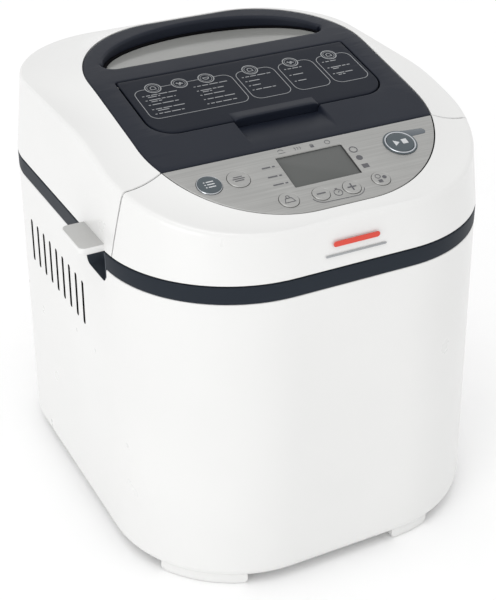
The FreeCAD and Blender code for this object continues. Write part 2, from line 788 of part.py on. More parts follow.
def rounded_path(points, bend):
    """Straight runs joined by tangent arcs of one radius."""
    edges = []
    start = points[0]
    for before, corner, after in zip(points, points[1:], points[2:]):
        incoming = (corner - before).normalize()
        outgoing = (after - corner).normalize()
        half_turn = incoming.getAngle(outgoing) / 2
        reach = bend * math.tan(half_turn)
        enter = corner - incoming * reach
        leave = corner + outgoing * reach
        inward = (outgoing - incoming).normalize()
        middle = corner + inward * (bend / math.cos(half_turn) - bend)
        edges.append(Part.LineSegment(start, enter).toShape())
        edges.append(Part.Arc(enter, middle, leave).toShape())
        start = leave
    edges.append(Part.LineSegment(start, points[-1]).toShape())
    return Part.Wire(edges)


def rod(points, bend, radius):
    """A round rod along a rounded path."""
    path = rounded_path(points, bend)
    direction = (points[1] - points[0]).normalize()
    circle = Part.Wire([Part.Circle(points[0], direction, radius).toShape()])
    return path.makePipeShell([circle], True, False)


heater_x = 95.0
heater_front = D.PanCentreY.value - 73.0
heater_back = D.PanCentreY.value + 73.0
heater_z = 85.0
liner_outer = D.OvenHalfWidth.value + D.SheetThickness.value
node(shaped("heating_element", rod([
    Vector(liner_outer + 8, 22, heater_z), Vector(heater_x, 22, heater_z),
    Vector(heater_x, heater_front, heater_z), Vector(-heater_x, heater_front, heater_z),
    Vector(-heater_x, heater_back, heater_z), Vector(heater_x, heater_back, heater_z),
    Vector(heater_x, 38, heater_z), Vector(liner_outer + 8, 38, heater_z)], 6.4, 3.25)))
node(cylinder("temp_sensor", (-30.0, D.OvenFront - 6.0, 110.0), 5.2, 4.0, "y"))

# ---------------------------------------------------------------------------
# Bread pan, handle, kneading shaft and paddle
# ---------------------------------------------------------------------------

bread_pan = new_body("bread_pan")
add_pad(bread_pan, "PanWall_pad", D.PanBottom, D.PanTop, [pan_outline(), pan_outline(D.PanWall)])
add_pad(bread_pan, "PanFloor", D.PanBottom, D.PanBottom + D.PanWall, [pan_outline()],
        [(0.0, D.PanCentreY, 7.0)])
add_pad(bread_pan, "PanRim", D.PanTop - 3.0, D.PanTop, [pan_outline(-D.RimLip), pan_outline(D.PanWall)])
for side, low in (("Left", -D.PanHalfWidth - 3.0), ("Right", D.PanHalfWidth + 1.2)):
    add_pad(bread_pan, f"Ear{side}", low, low + 1.8,
            [Outline(D.PanCentreY - 6.0, D.PanCentreY + 6.0, D.PanTop - 6.0, D.PanTop + 8.5, 0.0, 5.0)],
            [(D.PanCentreY, D.PanTop + 3.5, 2.55)], plane="YZ_Plane")
node(bread_pan)
node(flat_body("shaft_seal", D.PanBottom, D.PanBottom + 5.0, [], [
    (0.0, D.PanCentreY, 6.95), (0.0, D.PanCentreY, D.ShaftRadius + D.RunningGap)]))

bail_x = D.PanHalfWidth.value + 5.8
bail_y = D.PanCentreY.value
bail_z = D.PanTop.value + 3.5
node(shaped("pan_handle", rod([
    Vector(D.PanHalfWidth.value + 0.5, bail_y, bail_z), Vector(bail_x, bail_y, bail_z),
    Vector(bail_x, bail_y - 58, bail_z), Vector(-bail_x, bail_y - 58, bail_z),
    Vector(-bail_x, bail_y, bail_z), Vector(-D.PanHalfWidth.value - 0.5, bail_y, bail_z)], 2.6, 2.5)))

pan_shaft = new_body("pan_shaft")
add_pad(pan_shaft, "PanShaftRod", D.PanBottom - 1.0, D.PanBottom + 26.0, [], [
    (0.0, D.PanCentreY, D.ShaftRadius)])
add_pad(pan_shaft, "PanCouplingDisc", D.PanBottom - 2.6, D.PanBottom - 0.6, [], [
    (0.0, D.PanCentreY, 14.0)])
add_pad(pan_shaft, "PanCouplingRing", D.PanBottom - 8.6, D.PanBottom - 0.6, [], [
    (0.0, D.PanCentreY, 14.0), (0.0, D.PanCentreY, 11.0)])
for name, low in (("Left", -11.5), ("Right", 6.0)):
    add_pad(pan_shaft, f"CouplingDog{name}", D.PanBottom - 8.6, D.PanBottom - 1.6, [
        Outline(low, low + 5.5, D.PanCentreY - 2.0, D.PanCentreY + 2.0)])
node(pan_shaft)

paddle_hub = cylinder("paddle_hub", (0.0, D.PanCentreY, D.PanBottom + 5.8), 18.0, 9.0)
paddle_blade = box("paddle_blade", (5.0, 40.0), (D.PanCentreY - 2.0, D.PanCentreY + 2.0),
                   (D.PanBottom + 6.5, D.PanBottom + 30.0))
paddle_tip = cylinder("paddle_tip", (40.0, D.PanCentreY, D.PanBottom + 6.5), 23.5, 2.0)
paddle_bore = cylinder("paddle_bore", (0.0, D.PanCentreY, D.PanBottom), 40.0, D.ShaftRadius + D.RunningGap)
node(cut("paddle", fuse("paddle_blank", [paddle_hub, paddle_blade, paddle_tip]), paddle_bore))

# ---------------------------------------------------------------------------
# Kneading drive under the oven
# ---------------------------------------------------------------------------

drive_shaft = new_body("drive_shaft")
add_pad(drive_shaft, "DriveRod", 14.0, D.PanBottom - 3.4, [], [(0.0, D.PanCentreY, D.ShaftRadius)])
add_pad(drive_shaft, "DriveWings", D.PanBottom - 7.8, D.PanBottom - 3.4, [
    Outline(-1.8, 1.8, D.PanCentreY - 9.5, D.PanCentreY + 9.5)])
node(drive_shaft)
node(flat_body("bearing_bush", 40.0, D.OvenFloor + 2.0, [], [
    (0.0, D.PanCentreY, D.BushRadius), (0.0, D.PanCentreY, D.ShaftRadius + D.RunningGap)]))
large_pulley = new_body("large_pulley")
add_pad(large_pulley, "LargeRim", D.PulleyBottom, D.PulleyTop, [], [
    (0.0, D.PanCentreY, D.LargePulleyRadius), (0.0, D.PanCentreY, D.LargePulleyRadius - 5.0)])
add_pad(large_pulley, "LargeWeb", D.PulleyBottom + 4.0, D.PulleyBottom + 8.0, [], [
    (0.0, D.PanCentreY, D.LargePulleyRadius - 1.0), (0.0, D.PanCentreY, D.ShaftRadius)])
add_pad(large_pulley, "LargeHub", D.PulleyBottom, D.PulleyTop, [], [
    (0.0, D.PanCentreY, 11.0), (0.0, D.PanCentreY, D.ShaftRadius)])
node(large_pulley)
node(flat_body("motor_shaft", 15.0, D.MotorBottom - 0.5, [], [(0.0, D.MotorY, D.ShaftRadius)]))
node(flat_body("pinion_pulley", D.PulleyBottom, D.PulleyTop, [], [
    (0.0, D.MotorY, D.PinionRadius), (0.0, D.MotorY, D.ShaftRadius)]))


def belt_shape(gap):
    """The belt's loop round both pulleys, with gap to each."""
    small = Vector(0, D.MotorY.value, 0)
    large = Vector(0, D.PanCentreY.value, 0)
    reach = large.y - small.y
    tilt = math.asin((D.LargePulleyRadius.value - D.PinionRadius.value) / reach)

    def loop(extra):
        small_radius = D.PinionRadius.value + extra
        large_radius = D.LargePulleyRadius.value + extra
        away = Vector(math.cos(tilt), -math.sin(tilt), 0)
        mirror = Vector(-away.x, away.y, 0)
        front_right = small + away * small_radius
        front_left = small + mirror * small_radius
        back_right = large + away * large_radius
        back_left = large + mirror * large_radius
        return Part.Wire([
            Part.LineSegment(front_right, back_right).toShape(),
            Part.Arc(back_right, large + Vector(0, large_radius, 0), back_left).toShape(),
            Part.LineSegment(back_left, front_left).toShape(),
            Part.Arc(front_left, small - Vector(0, small_radius, 0), front_right).toShape()])

    outer = Part.Face(loop(gap + D.BeltThickness.value))
    ring = outer.cut(Part.Face(loop(gap)))
    low = D.PulleyBottom.value + 2
    high = D.PulleyTop.value - 2
    ring.translate(Vector(0, 0, low))
    return ring.extrude(Vector(0, 0, high - low))


node(shaped("drive_belt", belt_shape(0.25)))
motor = new_body("motor_body")
add_pad(motor, "MotorCan", D.MotorBottom, D.MotorTop, [], [(0.0, D.MotorY, D.MotorRadius)])
add_pad(motor, "MotorCap", D.MotorTop - 1.0, D.MotorTop + 6.0, [], [(0.0, D.MotorY, 12.0)])
node(motor)
bracket = new_body("motor_bracket")
add_pad(bracket, "BracketPlate", D.MotorBottom - 3.0, D.MotorBottom, [
    Outline(-42.0, 42.0, D.MotorY - 34.0, D.MotorY + 34.0, 6.0, 6.0)],
        [(0.0, D.MotorY, D.ShaftRadius + 3.0)])
for name, x, y in (("LegFrontLeft", -35.0, -28.0), ("LegFrontRight", 35.0, -28.0),
                   ("LegBackLeft", -35.0, 28.0), ("LegBackRight", 35.0, 28.0)):
    add_pad(bracket, name, D.FootHeight + 2.0, D.MotorBottom - 2.0, [], [(x, D.MotorY + y, 4.0)])
node(bracket)
node(box("power_board", (-98.0, -46.0), (-102.0, -100.4), (60.0, 150.0)))

# ---------------------------------------------------------------------------
# Console: panel, display, electronics and buttons
# ---------------------------------------------------------------------------

node(profile_slab("console_rear_wall", [
    (-83.7, D.BandTop + 0.3), (-82.2, D.BandTop + 0.3), (-86.9, 275.5), (-88.4, 275.5)], 95.0))

console_plan = Outline(-D.RimHalfWidth + D.RimClearance, D.RimHalfWidth - D.RimClearance,
                       -D.RimFront + D.RimClearance, D.PanelBackY - D.SeamHalfGap,
                       D.RimFrontRadius - D.RimClearance, 0.0)
BUTTONS = ("Menu", "Select", "Weight", "Minus", "Plus", "Crust", "Start")


def button_place(name):
    return getattr(D, f"{name}Across"), getattr(D, f"{name}Along"), getattr(D, f"{name}Radius")


panel_plan = flat_body("panel_plan", 240.0, 300.0, [Outline(
    -D.RimHalfWidth + D.RimClearance, D.RimHalfWidth - D.RimClearance, -D.RimFront + D.RimClearance, 0.0,
    D.RimFrontRadius - D.RimClearance, 0.0)])
panel_end = box("panel_end", (-150.0, 150.0), (-160.0, D.PanelBackY - D.SeamHalfGap), (230.0, 310.0))
panel_slab = on_panel(flat_body("panel_slab", -D.PanelThickness, 0.0, [
    Outline(-120.0, 120.0, -90.0, 20.0)]))
panel_holes = []
for name in BUTTONS:
    across, along, radius = button_place(name)
    hole_radius = D.StartRingRadius + 0.05 if name == "Start" else radius + D.ButtonGap
    panel_holes.append(on_panel(flat_body(f"{name}_hole", -6.0, 3.0, [], [(across, along, hole_radius)])))
panel_holes.append(on_panel(flat_body("display_hole", -6.0, 3.0, [Outline(
    -D.DisplayHalfWidth, D.DisplayHalfWidth, D.DisplayFront, D.DisplayBack, 1.5, 1.5)])))
lamp_outline = Outline(D.LampAcross - 3.0, D.LampAcross + 7.0, D.LampAlong - 2.3, D.LampAlong + 2.3, 2.2, 2.2)
panel_holes.append(on_panel(flat_body("lamp_hole", -6.0, 3.0, [lamp_outline])))
node(cut("control_panel_plate", common("panel_blank", panel_plan, panel_end, panel_slab), *panel_holes))

node(on_panel(flat_body("lcd_window", -2.0, -0.5, [Outline(
    -D.DisplayHalfWidth, D.DisplayHalfWidth, D.DisplayFront, D.DisplayBack, 1.5, 1.5).inset(0.05)])))
node(on_panel(flat_body("lcd_module", -9.0, -3.0, [Outline(
    -D.DisplayHalfWidth - 3.0, D.DisplayHalfWidth + 3.0, D.DisplayFront + 0.5, D.DisplayBack + 2.0)])))
node(on_panel(flat_body("control_pcb", -14.2, -12.6, [Outline(-82.0, 78.0, -47.5, -9.5)])))
node(on_panel(flat_body("indicator_lens", -3.0, 0.2, [lamp_outline.inset(0.05)])))

switches = []
for name in BUTTONS:
    across, along, _ = button_place(name)
    switches.append(on_panel(flat_body(f"{name}_switch", -12.4, -8.6, [Outline(
        across - 3.0, across + 3.0, along - 3.0, along + 3.0)])))
node(compound("tact_switches", switches))

across, along, radius = button_place("Start")
start_ring = new_body("start_button_ring")
add_pad(start_ring, "RingWall", -2.0, 1.0, [], [
    (across, along, D.StartRingRadius), (across, along, radius + D.ButtonGap)])
node(on_panel(start_ring))

for name in BUTTONS:
    across, along, radius = button_place(name)
    button = new_body(f"{name.lower()}_button")
    add_pad(button, f"{name}Cap", -3.0, D.ButtonProud, [], [(across, along, radius)])
    add_pad(button, f"{name}Flange", -4.2, -2.0 - D.ButtonTravel * 0.5, [], [(across, along, radius + 1.0)])
    add_pad(button, f"{name}Stem", -7.7, -4.0, [], [(across, along, 2.0)])
    cap = button.newObject("PartDesign::Fillet", f"{name}Dome")
    doc.recompute()
    stem = button.Group[-2]
    rim = [f"Edge{index}" for index, edge in enumerate(stem.Shape.Edges, start=1)
           if edge.BoundBox.ZMin > D.ButtonProud.value - 0.01]
    cap.Base = (stem, rim)
    cap.Radius = 0.9
    button.Tip = cap
    node(on_panel(button))

# ---------------------------------------------------------------------------
# Lid: cover, window, liner, grips, dispenser box, hatch and flap
# ---------------------------------------------------------------------------

cover_plan = flat_body("cover_plan", 260.0, 315.0, [rim_outline(D.RimClearance)])
window_opening = window_block("window_opening", 260.0, 320.0)
cover_front = box("cover_front", (-150.0, 150.0), (D.PanelBackY + D.SeamHalfGap, 150.0), (230.0, 320.0))
cover_profile = profile_slab("cover_profile", [
    (D.PanelBackY, D.PanelBackZ - D.CoverThickness), (D.HatchFrontY, D.HatchFrontZ - D.CoverThickness),
    (D.HatchBackY, D.HatchBackZ - D.CoverThickness), (D.RimBack, D.CoverBackZ - D.CoverThickness),
    (D.RimBack, D.CoverBackZ), (D.HatchBackY, D.HatchBackZ), (D.HatchFrontY, D.HatchFrontZ),
    (D.PanelBackY, D.PanelBackZ)], D.RimHalfWidth)
hatch_outline = Outline(-D.HatchHalfWidth, D.HatchHalfWidth, D.HatchFrontY, D.HatchBackY, 17.0, 4.0)
hatch_opening = flat_body("hatch_opening", 250.0, 320.0, [hatch_outline.inset(-D.HatchGap)])
scoop = flat_body("scoop_cut", 282.0, 300.0, [Outline(
    -30.0, 30.0, D.HatchFrontY - 13.0, D.HatchFrontY, 6.0, 0.0)])
scoop_tray = flat_body("scoop_tray", 275.0, 290.0, [Outline(
    -32.0, 32.0, D.HatchFrontY - 15.0, D.HatchFrontY - 1.5, 7.0, 0.0)])
scoop_floor = profile_slab("scoop_floor", [
    (D.PanelBackY, 272.0), (D.HatchFrontY, 280.5), (D.HatchFrontY, 286.5), (D.PanelBackY, 279.0)], 33.0)
scoop_hollow = profile_slab("scoop_hollow", [
    (D.HatchFrontY - 13.0, 320.0), (D.HatchFrontY - 13.0, 283.4), (D.HatchFrontY + 2.0, 283.2),
    (D.HatchFrontY + 2.0, 320.0)], 30.0)
window_frame = cut("window_frame", common(
    "window_frame_blank", window_block("window_frame_outer", D.GlassHeight - 3.0, D.CoverBackZ, -3.0),
    profile_slab("window_frame_region", [
        (D.HatchBackY, 280.0), (D.RimBack, 280.0), (D.RimBack, D.CoverBackZ - 1.0),
        (D.HatchBackY, D.HatchBackZ - 1.0)], D.RimHalfWidth)), window_opening)
pin_lugs = [box(f"pin_lug_{name}", x, (D.HatchBackY - 5.5, D.HatchBackY + 2.0), (293.0, 299.3))
            for name, x in (("left", (-D.HatchHalfWidth - 3.0, -D.HatchHalfWidth - 0.9)),
                            ("right", (D.HatchHalfWidth + 0.9, D.HatchHalfWidth + 3.0)))]
hatch_pin_y = D.HatchBackY - 3.0
hatch_pin_z = D.HatchBackZ - 3.4
pin_bore = cylinder("pin_bore", (-100.0, hatch_pin_y, hatch_pin_z), 200.0, 1.2, "x")
cover_base = cut("cover_base", common("cover_blank", cover_plan, cover_front, cover_profile),
                 hatch_opening, window_opening)
scoop_part = cut("scoop_part", common("scoop_blank", scoop_tray, scoop_floor), scoop_hollow)
hatch_sweep = cylinder("hatch_sweep", (-D.HatchHalfWidth - D.HatchGap, hatch_pin_y, hatch_pin_z),
                       (D.HatchHalfWidth + D.HatchGap) * 2, 4.9, "x")
cover_all = fuse("cover_all", [cut("cover_scooped", cover_base, scoop), scoop_part, window_frame] + pin_lugs)
node(cut("lid_cover", cover_all, pin_bore, hatch_sweep))
node(cylinder("hatch_pin", (-D.HatchHalfWidth - 2.8, hatch_pin_y, hatch_pin_z),
              D.HatchHalfWidth * 2 + 5.6, 1.2, "x"))

glass_top = D.GlassHeight + D.GlassThickness
node(cut("window_gasket", window_block("gasket_blank", D.GlassHeight, glass_top + 1.0, 0.05),
         window_block("gasket_opening", D.GlassHeight - 1.0, glass_top + 2.0, D.GasketWidth)))
node(window_block("window_glass", D.GlassHeight, glass_top, D.GasketWidth + 0.05))

# hatch: a flat door laid at the cover's slope, with a raised grip lip at its front edge
rise = DIMENSIONS["HatchBackZ"] - DIMENSIONS["HatchFrontZ"]
run = DIMENSIONS["HatchBackY"] - DIMENSIONS["HatchFrontY"]
hatch_plate = common("hatch_plate", flat_body("hatch_plan", 250.0, 320.0, [hatch_outline]), profile_slab(
    "hatch_profile", [
        (D.HatchFrontY - 5.0, D.HatchFrontZ - 5.0 * rise / run - 2.5),
        (D.HatchBackY + 5.0, D.HatchBackZ + 5.0 * rise / run - 2.5),
        (D.HatchBackY + 5.0, D.HatchBackZ + 5.0 * rise / run),
        (D.HatchFrontY - 5.0, D.HatchFrontZ - 5.0 * rise / run)], D.HatchHalfWidth + 5.0))
hatch_lip = profile_slab("hatch_lip", [
    (D.HatchFrontY - 0.4, D.HatchFrontZ - 3.0), (D.HatchFrontY + 9.0, D.HatchFrontZ + 0.8),
    (D.HatchFrontY + 8.5, D.HatchFrontZ + 2.5), (D.HatchFrontY + 1.0, D.HatchFrontZ + 3.4),
    (D.HatchFrontY - 0.4, D.HatchFrontZ + 2.4)], 30.0)
knuckles = [cylinder(f"hatch_knuckle_{name}", (x, hatch_pin_y, hatch_pin_z), 12.0, 2.8, "x")
            for name, x in (("left", -D.HatchHalfWidth + 3.0), ("middle", -6.0),
                            ("right", D.HatchHalfWidth - 15.0))]
hatch_bore = cylinder("hatch_bore", (-100.0, hatch_pin_y, hatch_pin_z), 200.0, 1.2 + 0.06, "x")
node(cut("dispenser_hatch", fuse("hatch_blank", [hatch_plate, hatch_lip] + knuckles), hatch_bore))

# dispenser box under the hatch, open at the top, with a flap in its floor
box_plan = Outline(-78.0, 78.0, -48.0, 4.0, 8.0, 3.0)
box_wall = flat_body("box_wall", 232.0, 320.0, [box_plan, box_plan.inset(1.6)])
box_floor = flat_body("box_floor", 256.0, 257.6, [box_plan, Outline(-66.0, 66.0, -34.0, -6.0, 3.0, 3.0)])
box_top = profile_slab("box_top", [
    (-60.0, 282.4), (15.0, 282.4 + 75.0 * rise / run), (15.0, 340.0), (-60.0, 340.0)], 90.0)
flap_lugs = [box(f"flap_lug_{name}", x, (-5.6, -0.6), (250.6, 257.0))
             for name, x in (("left", (-68.6, -67.0)), ("right", (67.0, 68.6)))]
flap_bore = cylinder("flap_bore", (-80.0, -3.0, 253.0), 160.0, 1.0, "x")
node(cut("dispenser_box", fuse("box_blank", [box_wall, box_floor] + flap_lugs), box_top, flap_bore))
node(cylinder("flap_pin", (-68.6, -3.0, 253.0), 137.2, 1.0, "x"))
flap_plate = box("flap_plate", (-65.0, 65.0), (-36.0, -3.0), (253.6, 255.2))
flap_knuckles = [cylinder(f"flap_knuckle_{name}", (x, -3.0, 253.0), 10.0, 2.2, "x")
                 for name, x in (("left", -65.0), ("right", 55.0))]
flap_blank = fuse("flap_blank", [flap_plate] + flap_knuckles)
node(cut("dispenser_flap", flap_blank, cylinder("flap_pin_bore", (-80.0, -3.0, 253.0), 160.0, 1.06, "x")))
node(box("flap_solenoid", (-14.0, 14.0), (-66.0, -52.0), (244.0, 258.0)))

# lid underside, with the lugs that hold the hinge pin
lid_plates = new_body("lid_plates")
add_pad(lid_plates, "LidPlate", 230.5, 231.5, [
    Outline(-117.0, 117.0, -78.9, 130.0, 20.0, 66.0), Outline(-76.0, 76.0, -46.0, 2.0, 6.0, 3.0)])
add_pad(lid_plates, "LidFrontWall", 230.5, 262.0, [Outline(-96.0, 96.0, -78.9, -77.7)])
lug_pieces = []
for name, low in (("left", -D.HingeLugOuter), ("right", D.HingeHalfWidth + 1.0)):
    lug_pieces.append(box(f"lug_{name}", (low, low + 5.0), (118.0, D.HingeY), (231.5, D.HingeZ + 4.5)))
    lug_pieces.append(cylinder(f"lug_eye_{name}", (low, D.HingeY, D.HingeZ), 5.0, 4.6, "x"))
    lug_pieces.append(box(f"lug_foot_{name}", (low, low + 5.0), (112.0, 130.0), (230.5, 232.0)))
lug_relief = box("lug_relief", (-80.0, 80.0), (131.0, 150.0), (225.0, D.HingeZ - 4.6))
pin_hole = cylinder("pin_hole", (-80.0, D.HingeY, D.HingeZ), 160.0, D.LidPinRadius, "x")
window_well = flat_body("window_well", 229.0, 240.0, [Outline(-70.0, 70.0, 34.0, 76.0, 6.0, 34.0)])
node(cut("lid_liner", fuse("lid_liner_blank", [lid_plates] + lug_pieces), window_well, lug_relief, pin_hole))
node(flat_body("inner_glass", 231.7, 234.7, [Outline(-74.0, 74.0, 30.0, 80.0, 8.0, 40.0)]))
node(flat_body("lid_seal", 227.2, 230.3, [
    Outline(-110.0, 110.0, -57.0, 116.0, 22.0, 22.0), Outline(-106.0, 106.0, -53.0, 112.0, 18.0, 18.0)]))

for side, name in ((-1, "left"), (1, "right")):
    root = D.BodyHalfWidth - 4.0
    tab_x = (root, D.TabOuter) if side > 0 else (-D.TabOuter, -root)
    x_low, x_high = tab_x
    node(flat_body(f"lid_grip_{name}", D.LidBottom, D.TabTop, [
        Outline(x_low, x_high, D.PocketFront, D.PocketBack + 2.0, 3.0, 3.0)]))

# ---------------------------------------------------------------------------
# Build, test and write
# ---------------------------------------------------------------------------

doc.recompute()
for thing in doc.Objects:
    for state in ("Invalid", "Error"):
        if state in thing.State:
            raise RuntimeError(f"{thing.Label} is {state}")
os.makedirs("parts", exist_ok=True)
for piece in NODES:
    shape = piece.Shape
    if shape.isNull() or not shape.isValid() or not shape.Solids:
        raise RuntimeError(f"{piece.Label} has no valid solid")
    shape.exportStep(f"parts/{piece.Label}.step")
print(f"{len(NODES)} nodes written")
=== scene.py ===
import json
import math

import bmesh
import bpy
from mathutils import Matrix, Vector


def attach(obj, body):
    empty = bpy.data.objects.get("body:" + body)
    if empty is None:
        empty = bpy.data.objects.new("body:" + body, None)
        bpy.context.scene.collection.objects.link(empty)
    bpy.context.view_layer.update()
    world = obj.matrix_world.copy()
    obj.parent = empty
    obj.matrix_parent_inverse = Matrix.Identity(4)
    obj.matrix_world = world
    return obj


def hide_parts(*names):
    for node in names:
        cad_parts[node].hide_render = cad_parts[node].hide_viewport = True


# Looks of the bread machine. Lengths are millimetres in the CAD frame, and become metres in make_object.

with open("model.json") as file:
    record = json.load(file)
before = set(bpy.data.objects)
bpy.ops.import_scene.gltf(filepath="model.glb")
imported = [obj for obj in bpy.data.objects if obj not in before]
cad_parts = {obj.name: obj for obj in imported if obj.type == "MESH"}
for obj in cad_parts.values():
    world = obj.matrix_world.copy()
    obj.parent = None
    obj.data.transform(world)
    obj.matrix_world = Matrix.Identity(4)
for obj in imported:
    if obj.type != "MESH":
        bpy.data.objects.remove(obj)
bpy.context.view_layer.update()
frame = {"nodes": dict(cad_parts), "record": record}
MM = 0.001

# ---------------------------------------------------------------------------
# Driving dimensions. They are the CAD model's, but for the pocket's bottom and corner and the vents' width.
# ---------------------------------------------------------------------------

BODY_HALF_WIDTH = 129.0
BODY_HALF_DEPTH = 155.0
FRONT_RADIUS = 88.0
REAR_RADIUS = 75.0
WALL = 2.5
FOOT_HEIGHT = 6.3
BAND_BOTTOM = 216.5
BAND_TOP = 228.2
LID_BOTTOM = 229.0
BOTTOM_ROUND = 8.0
BASE_FLARE = 2.8
FLOOR_OPENING_INSET = 14.0
FLOOR_THICKNESS = 4.0
FOOT_INSET = 3.0

CREASE_HALF_WIDTH = 126.0
CREASE_FRONT = 152.0
CREASE_BACK = 143.5
CREASE_FRONT_HEIGHT = 260.0
CREASE_BACK_HEIGHT = 288.5
CREASE_RISE_DEPTH = 140.0

RIM_HALF_WIDTH = 100.0
RIM_FRONT = 142.0
RIM_BACK = 87.0
RIM_FRONT_RADIUS = 82.0
RIM_BACK_RADIUS = 72.0
RIM_GAP = 0.4
PANEL_GAP = 0.85

PANEL_BACK_Y = -85.9
PANEL_BACK_Z = 280.8
PANEL_ANGLE = math.radians(17.75)
HATCH_FRONT = (-52.4, 288.5)
HATCH_BACK = (11.8, 301.5)
COVER_BACK_HEIGHT = 309.0
HATCH_HALF_WIDTH = 83.5
HATCH_GAP = 0.8
HATCH_DOOR_INSET = 0.3
SEAM_CREASE = (-89.0, 272.7)
SEAM_BOTTOM_Y = -80.2
SEAM_HALF_GAP = 0.35
SEAM_SHOWN_HALF = 0.55
LID_HINGE = (142.0, 242.0)
HINGE_RELIEF_RADIUS = 9.8
HINGE_HALF_WIDTH = 90.0

POCKET_FRONT = -71.0
POCKET_BACK = -38.0
POCKET_BOTTOM = 206.3
POCKET_DEPTH = 11.0
POCKET_CORNER = 5.5
VENT_BACK_Y = 72.7
VENT_PITCH = 12.4
VENT_COUNT = 9
VENT_BOTTOM = 153.3
VENT_TOP = 186.0
VENT_HALF = 1.9
INLET = (45.0, 36.0, 6.5)

# How finely the casing's outline is divided: round each corner, and along each side.
CORNER_STEPS = 26
SIDE_STEPS = 14

# ---------------------------------------------------------------------------
# Mesh helpers
# ---------------------------------------------------------------------------


def make_object(name, mesh_bm, material, smooth_angle=35.0, body=None):
    """Turns a bmesh in millimetres into an object in metres, smooth except at sharp edges."""
    bmesh.ops.remove_doubles(mesh_bm, verts=mesh_bm.verts, dist=0.002)
    bmesh.ops.recalc_face_normals(mesh_bm, faces=mesh_bm.faces)
    bmesh.ops.scale(mesh_bm, vec=(MM, MM, MM), verts=mesh_bm.verts)
    mesh = bpy.data.meshes.new(name)
    mesh_bm.to_mesh(mesh)
    mesh_bm.free()
    mesh.polygons.foreach_set("use_smooth", [True] * len(mesh.polygons))
    mesh.set_sharp_from_angle(angle=math.radians(smooth_angle))
    mesh.materials.append(material)
    piece = bpy.data.objects.new(name, mesh)
    bpy.context.scene.collection.objects.link(piece)
    if body:
        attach(piece, body)
    return piece


def loft(loops, closed_along=False, cap_start=False, cap_end=False, into=None):
    """Quads between successive closed loops of equal length."""
    mesh_bm = into or bmesh.new()
    rings = [[mesh_bm.verts.new(point) for point in loop] for loop in loops]
    pairs = list(zip(rings, rings[1:]))
    if closed_along:
        pairs.append((rings[-1], rings[0]))
    for first, second in pairs:
        bridge(mesh_bm, first, second)
    if cap_start:
        mesh_bm.faces.new(rings[0])
    if cap_end:
        mesh_bm.faces.new(list(reversed(rings[-1])))
    return mesh_bm


def bridge(mesh_bm, first, second):
    """Quads between two closed rings of equal length."""
    count = len(first)
    for index in range(count):
        after = (index + 1) % count
        mesh_bm.faces.new((first[index], first[after], second[after], second[index]))


def rounded_rectangle(x_low, x_high, y_low, y_high, low_radius, high_radius, arc_steps=14, side_steps=4):
    """Points counter-clockwise round a rectangle whose low and high corners have their own radii."""
    corners = [(x_low, y_low, low_radius, 180), (x_high, y_low, low_radius, 270),
               (x_high, y_high, high_radius, 0), (x_low, y_high, high_radius, 90)]
    points = []
    for index, (x, y, radius, start) in enumerate(corners):
        radius = max(radius, 0.05)
        x_centre = x + radius if index in (0, 3) else x - radius
        y_centre = y + radius if index in (0, 1) else y - radius
        arc = arc_points(x_centre, y_centre, radius, start, start + 90, arc_steps)
        if points:
            points += straight_points(points[-1], arc[0], side_steps)
        points += arc
    points += straight_points(points[-1], points[0], side_steps)
    return points


def straight_points(start, end, steps):
    """The points strictly between start and end."""
    return [(start[0] + (end[0] - start[0]) * step / steps, start[1] + (end[1] - start[1]) * step / steps)
            for step in range(1, steps)]


def arc_points(x, y, radius, start, end, steps):
    """Points along an arc, angles in degrees, with both its ends."""
    angles = [math.radians(start + (end - start) * step / steps) for step in range(steps + 1)]
    return [(x + radius * math.cos(angle), y + radius * math.sin(angle)) for angle in angles]


def circle(a_centre, b_centre, radius, steps):
    """Points counter-clockwise round a circle."""
    return [(a_centre + radius * math.cos(2 * math.pi * step / steps),
             b_centre + radius * math.sin(2 * math.pi * step / steps)) for step in range(steps)]


def casing_loop(inset, z):
    outline = rounded_rectangle(-BODY_HALF_WIDTH + inset, BODY_HALF_WIDTH - inset,
                                -BODY_HALF_DEPTH + inset, BODY_HALF_DEPTH - inset,
                                FRONT_RADIUS - inset, REAR_RADIUS - inset, CORNER_STEPS, SIDE_STEPS)
    return [Vector((x, y, z)) for x, y in outline]


def flare_at(z):
    """How far the casing's wall stands out at a height: most at the bottom, nothing at the band."""
    share = (BAND_BOTTOM - z) / (BAND_BOTTOM - FOOT_HEIGHT - BOTTOM_ROUND)
    return BASE_FLARE * max(0.0, min(1.0, share))


def arc_profile(radius, steps, start, end):
    """Offsets (inset, rise) along an arc of that radius, angles in degrees from its outer side."""
    rows = []
    for step in range(steps + 1):
        angle = math.radians(start + (end - start) * step / steps)
        rows.append((radius * (1 - math.cos(angle)), radius * math.sin(angle)))
    return rows


def box_cutter(x, y, z):
    """A plain block as a bmesh, used only to cut or to be cut."""
    block = bmesh.new()
    bmesh.ops.create_cube(block, size=1.0)
    for vert in block.verts:
        vert.co = Vector((x[0] if vert.co.x < 0 else x[1], y[0] if vert.co.y < 0 else y[1],
                          z[0] if vert.co.z < 0 else z[1]))
    return block


def prism(points, axis, low, high):
    """A prism of a polygon: axis x takes (y, z) points, axis z takes (x, y) points."""
    if axis == "x":
        loops = [[Vector((level, a, b)) for a, b in points] for level in (low, high)]
    else:
        loops = [[Vector((a, b, level)) for a, b in points] for level in (low, high)]
    return loft(loops, cap_start=True, cap_end=True)


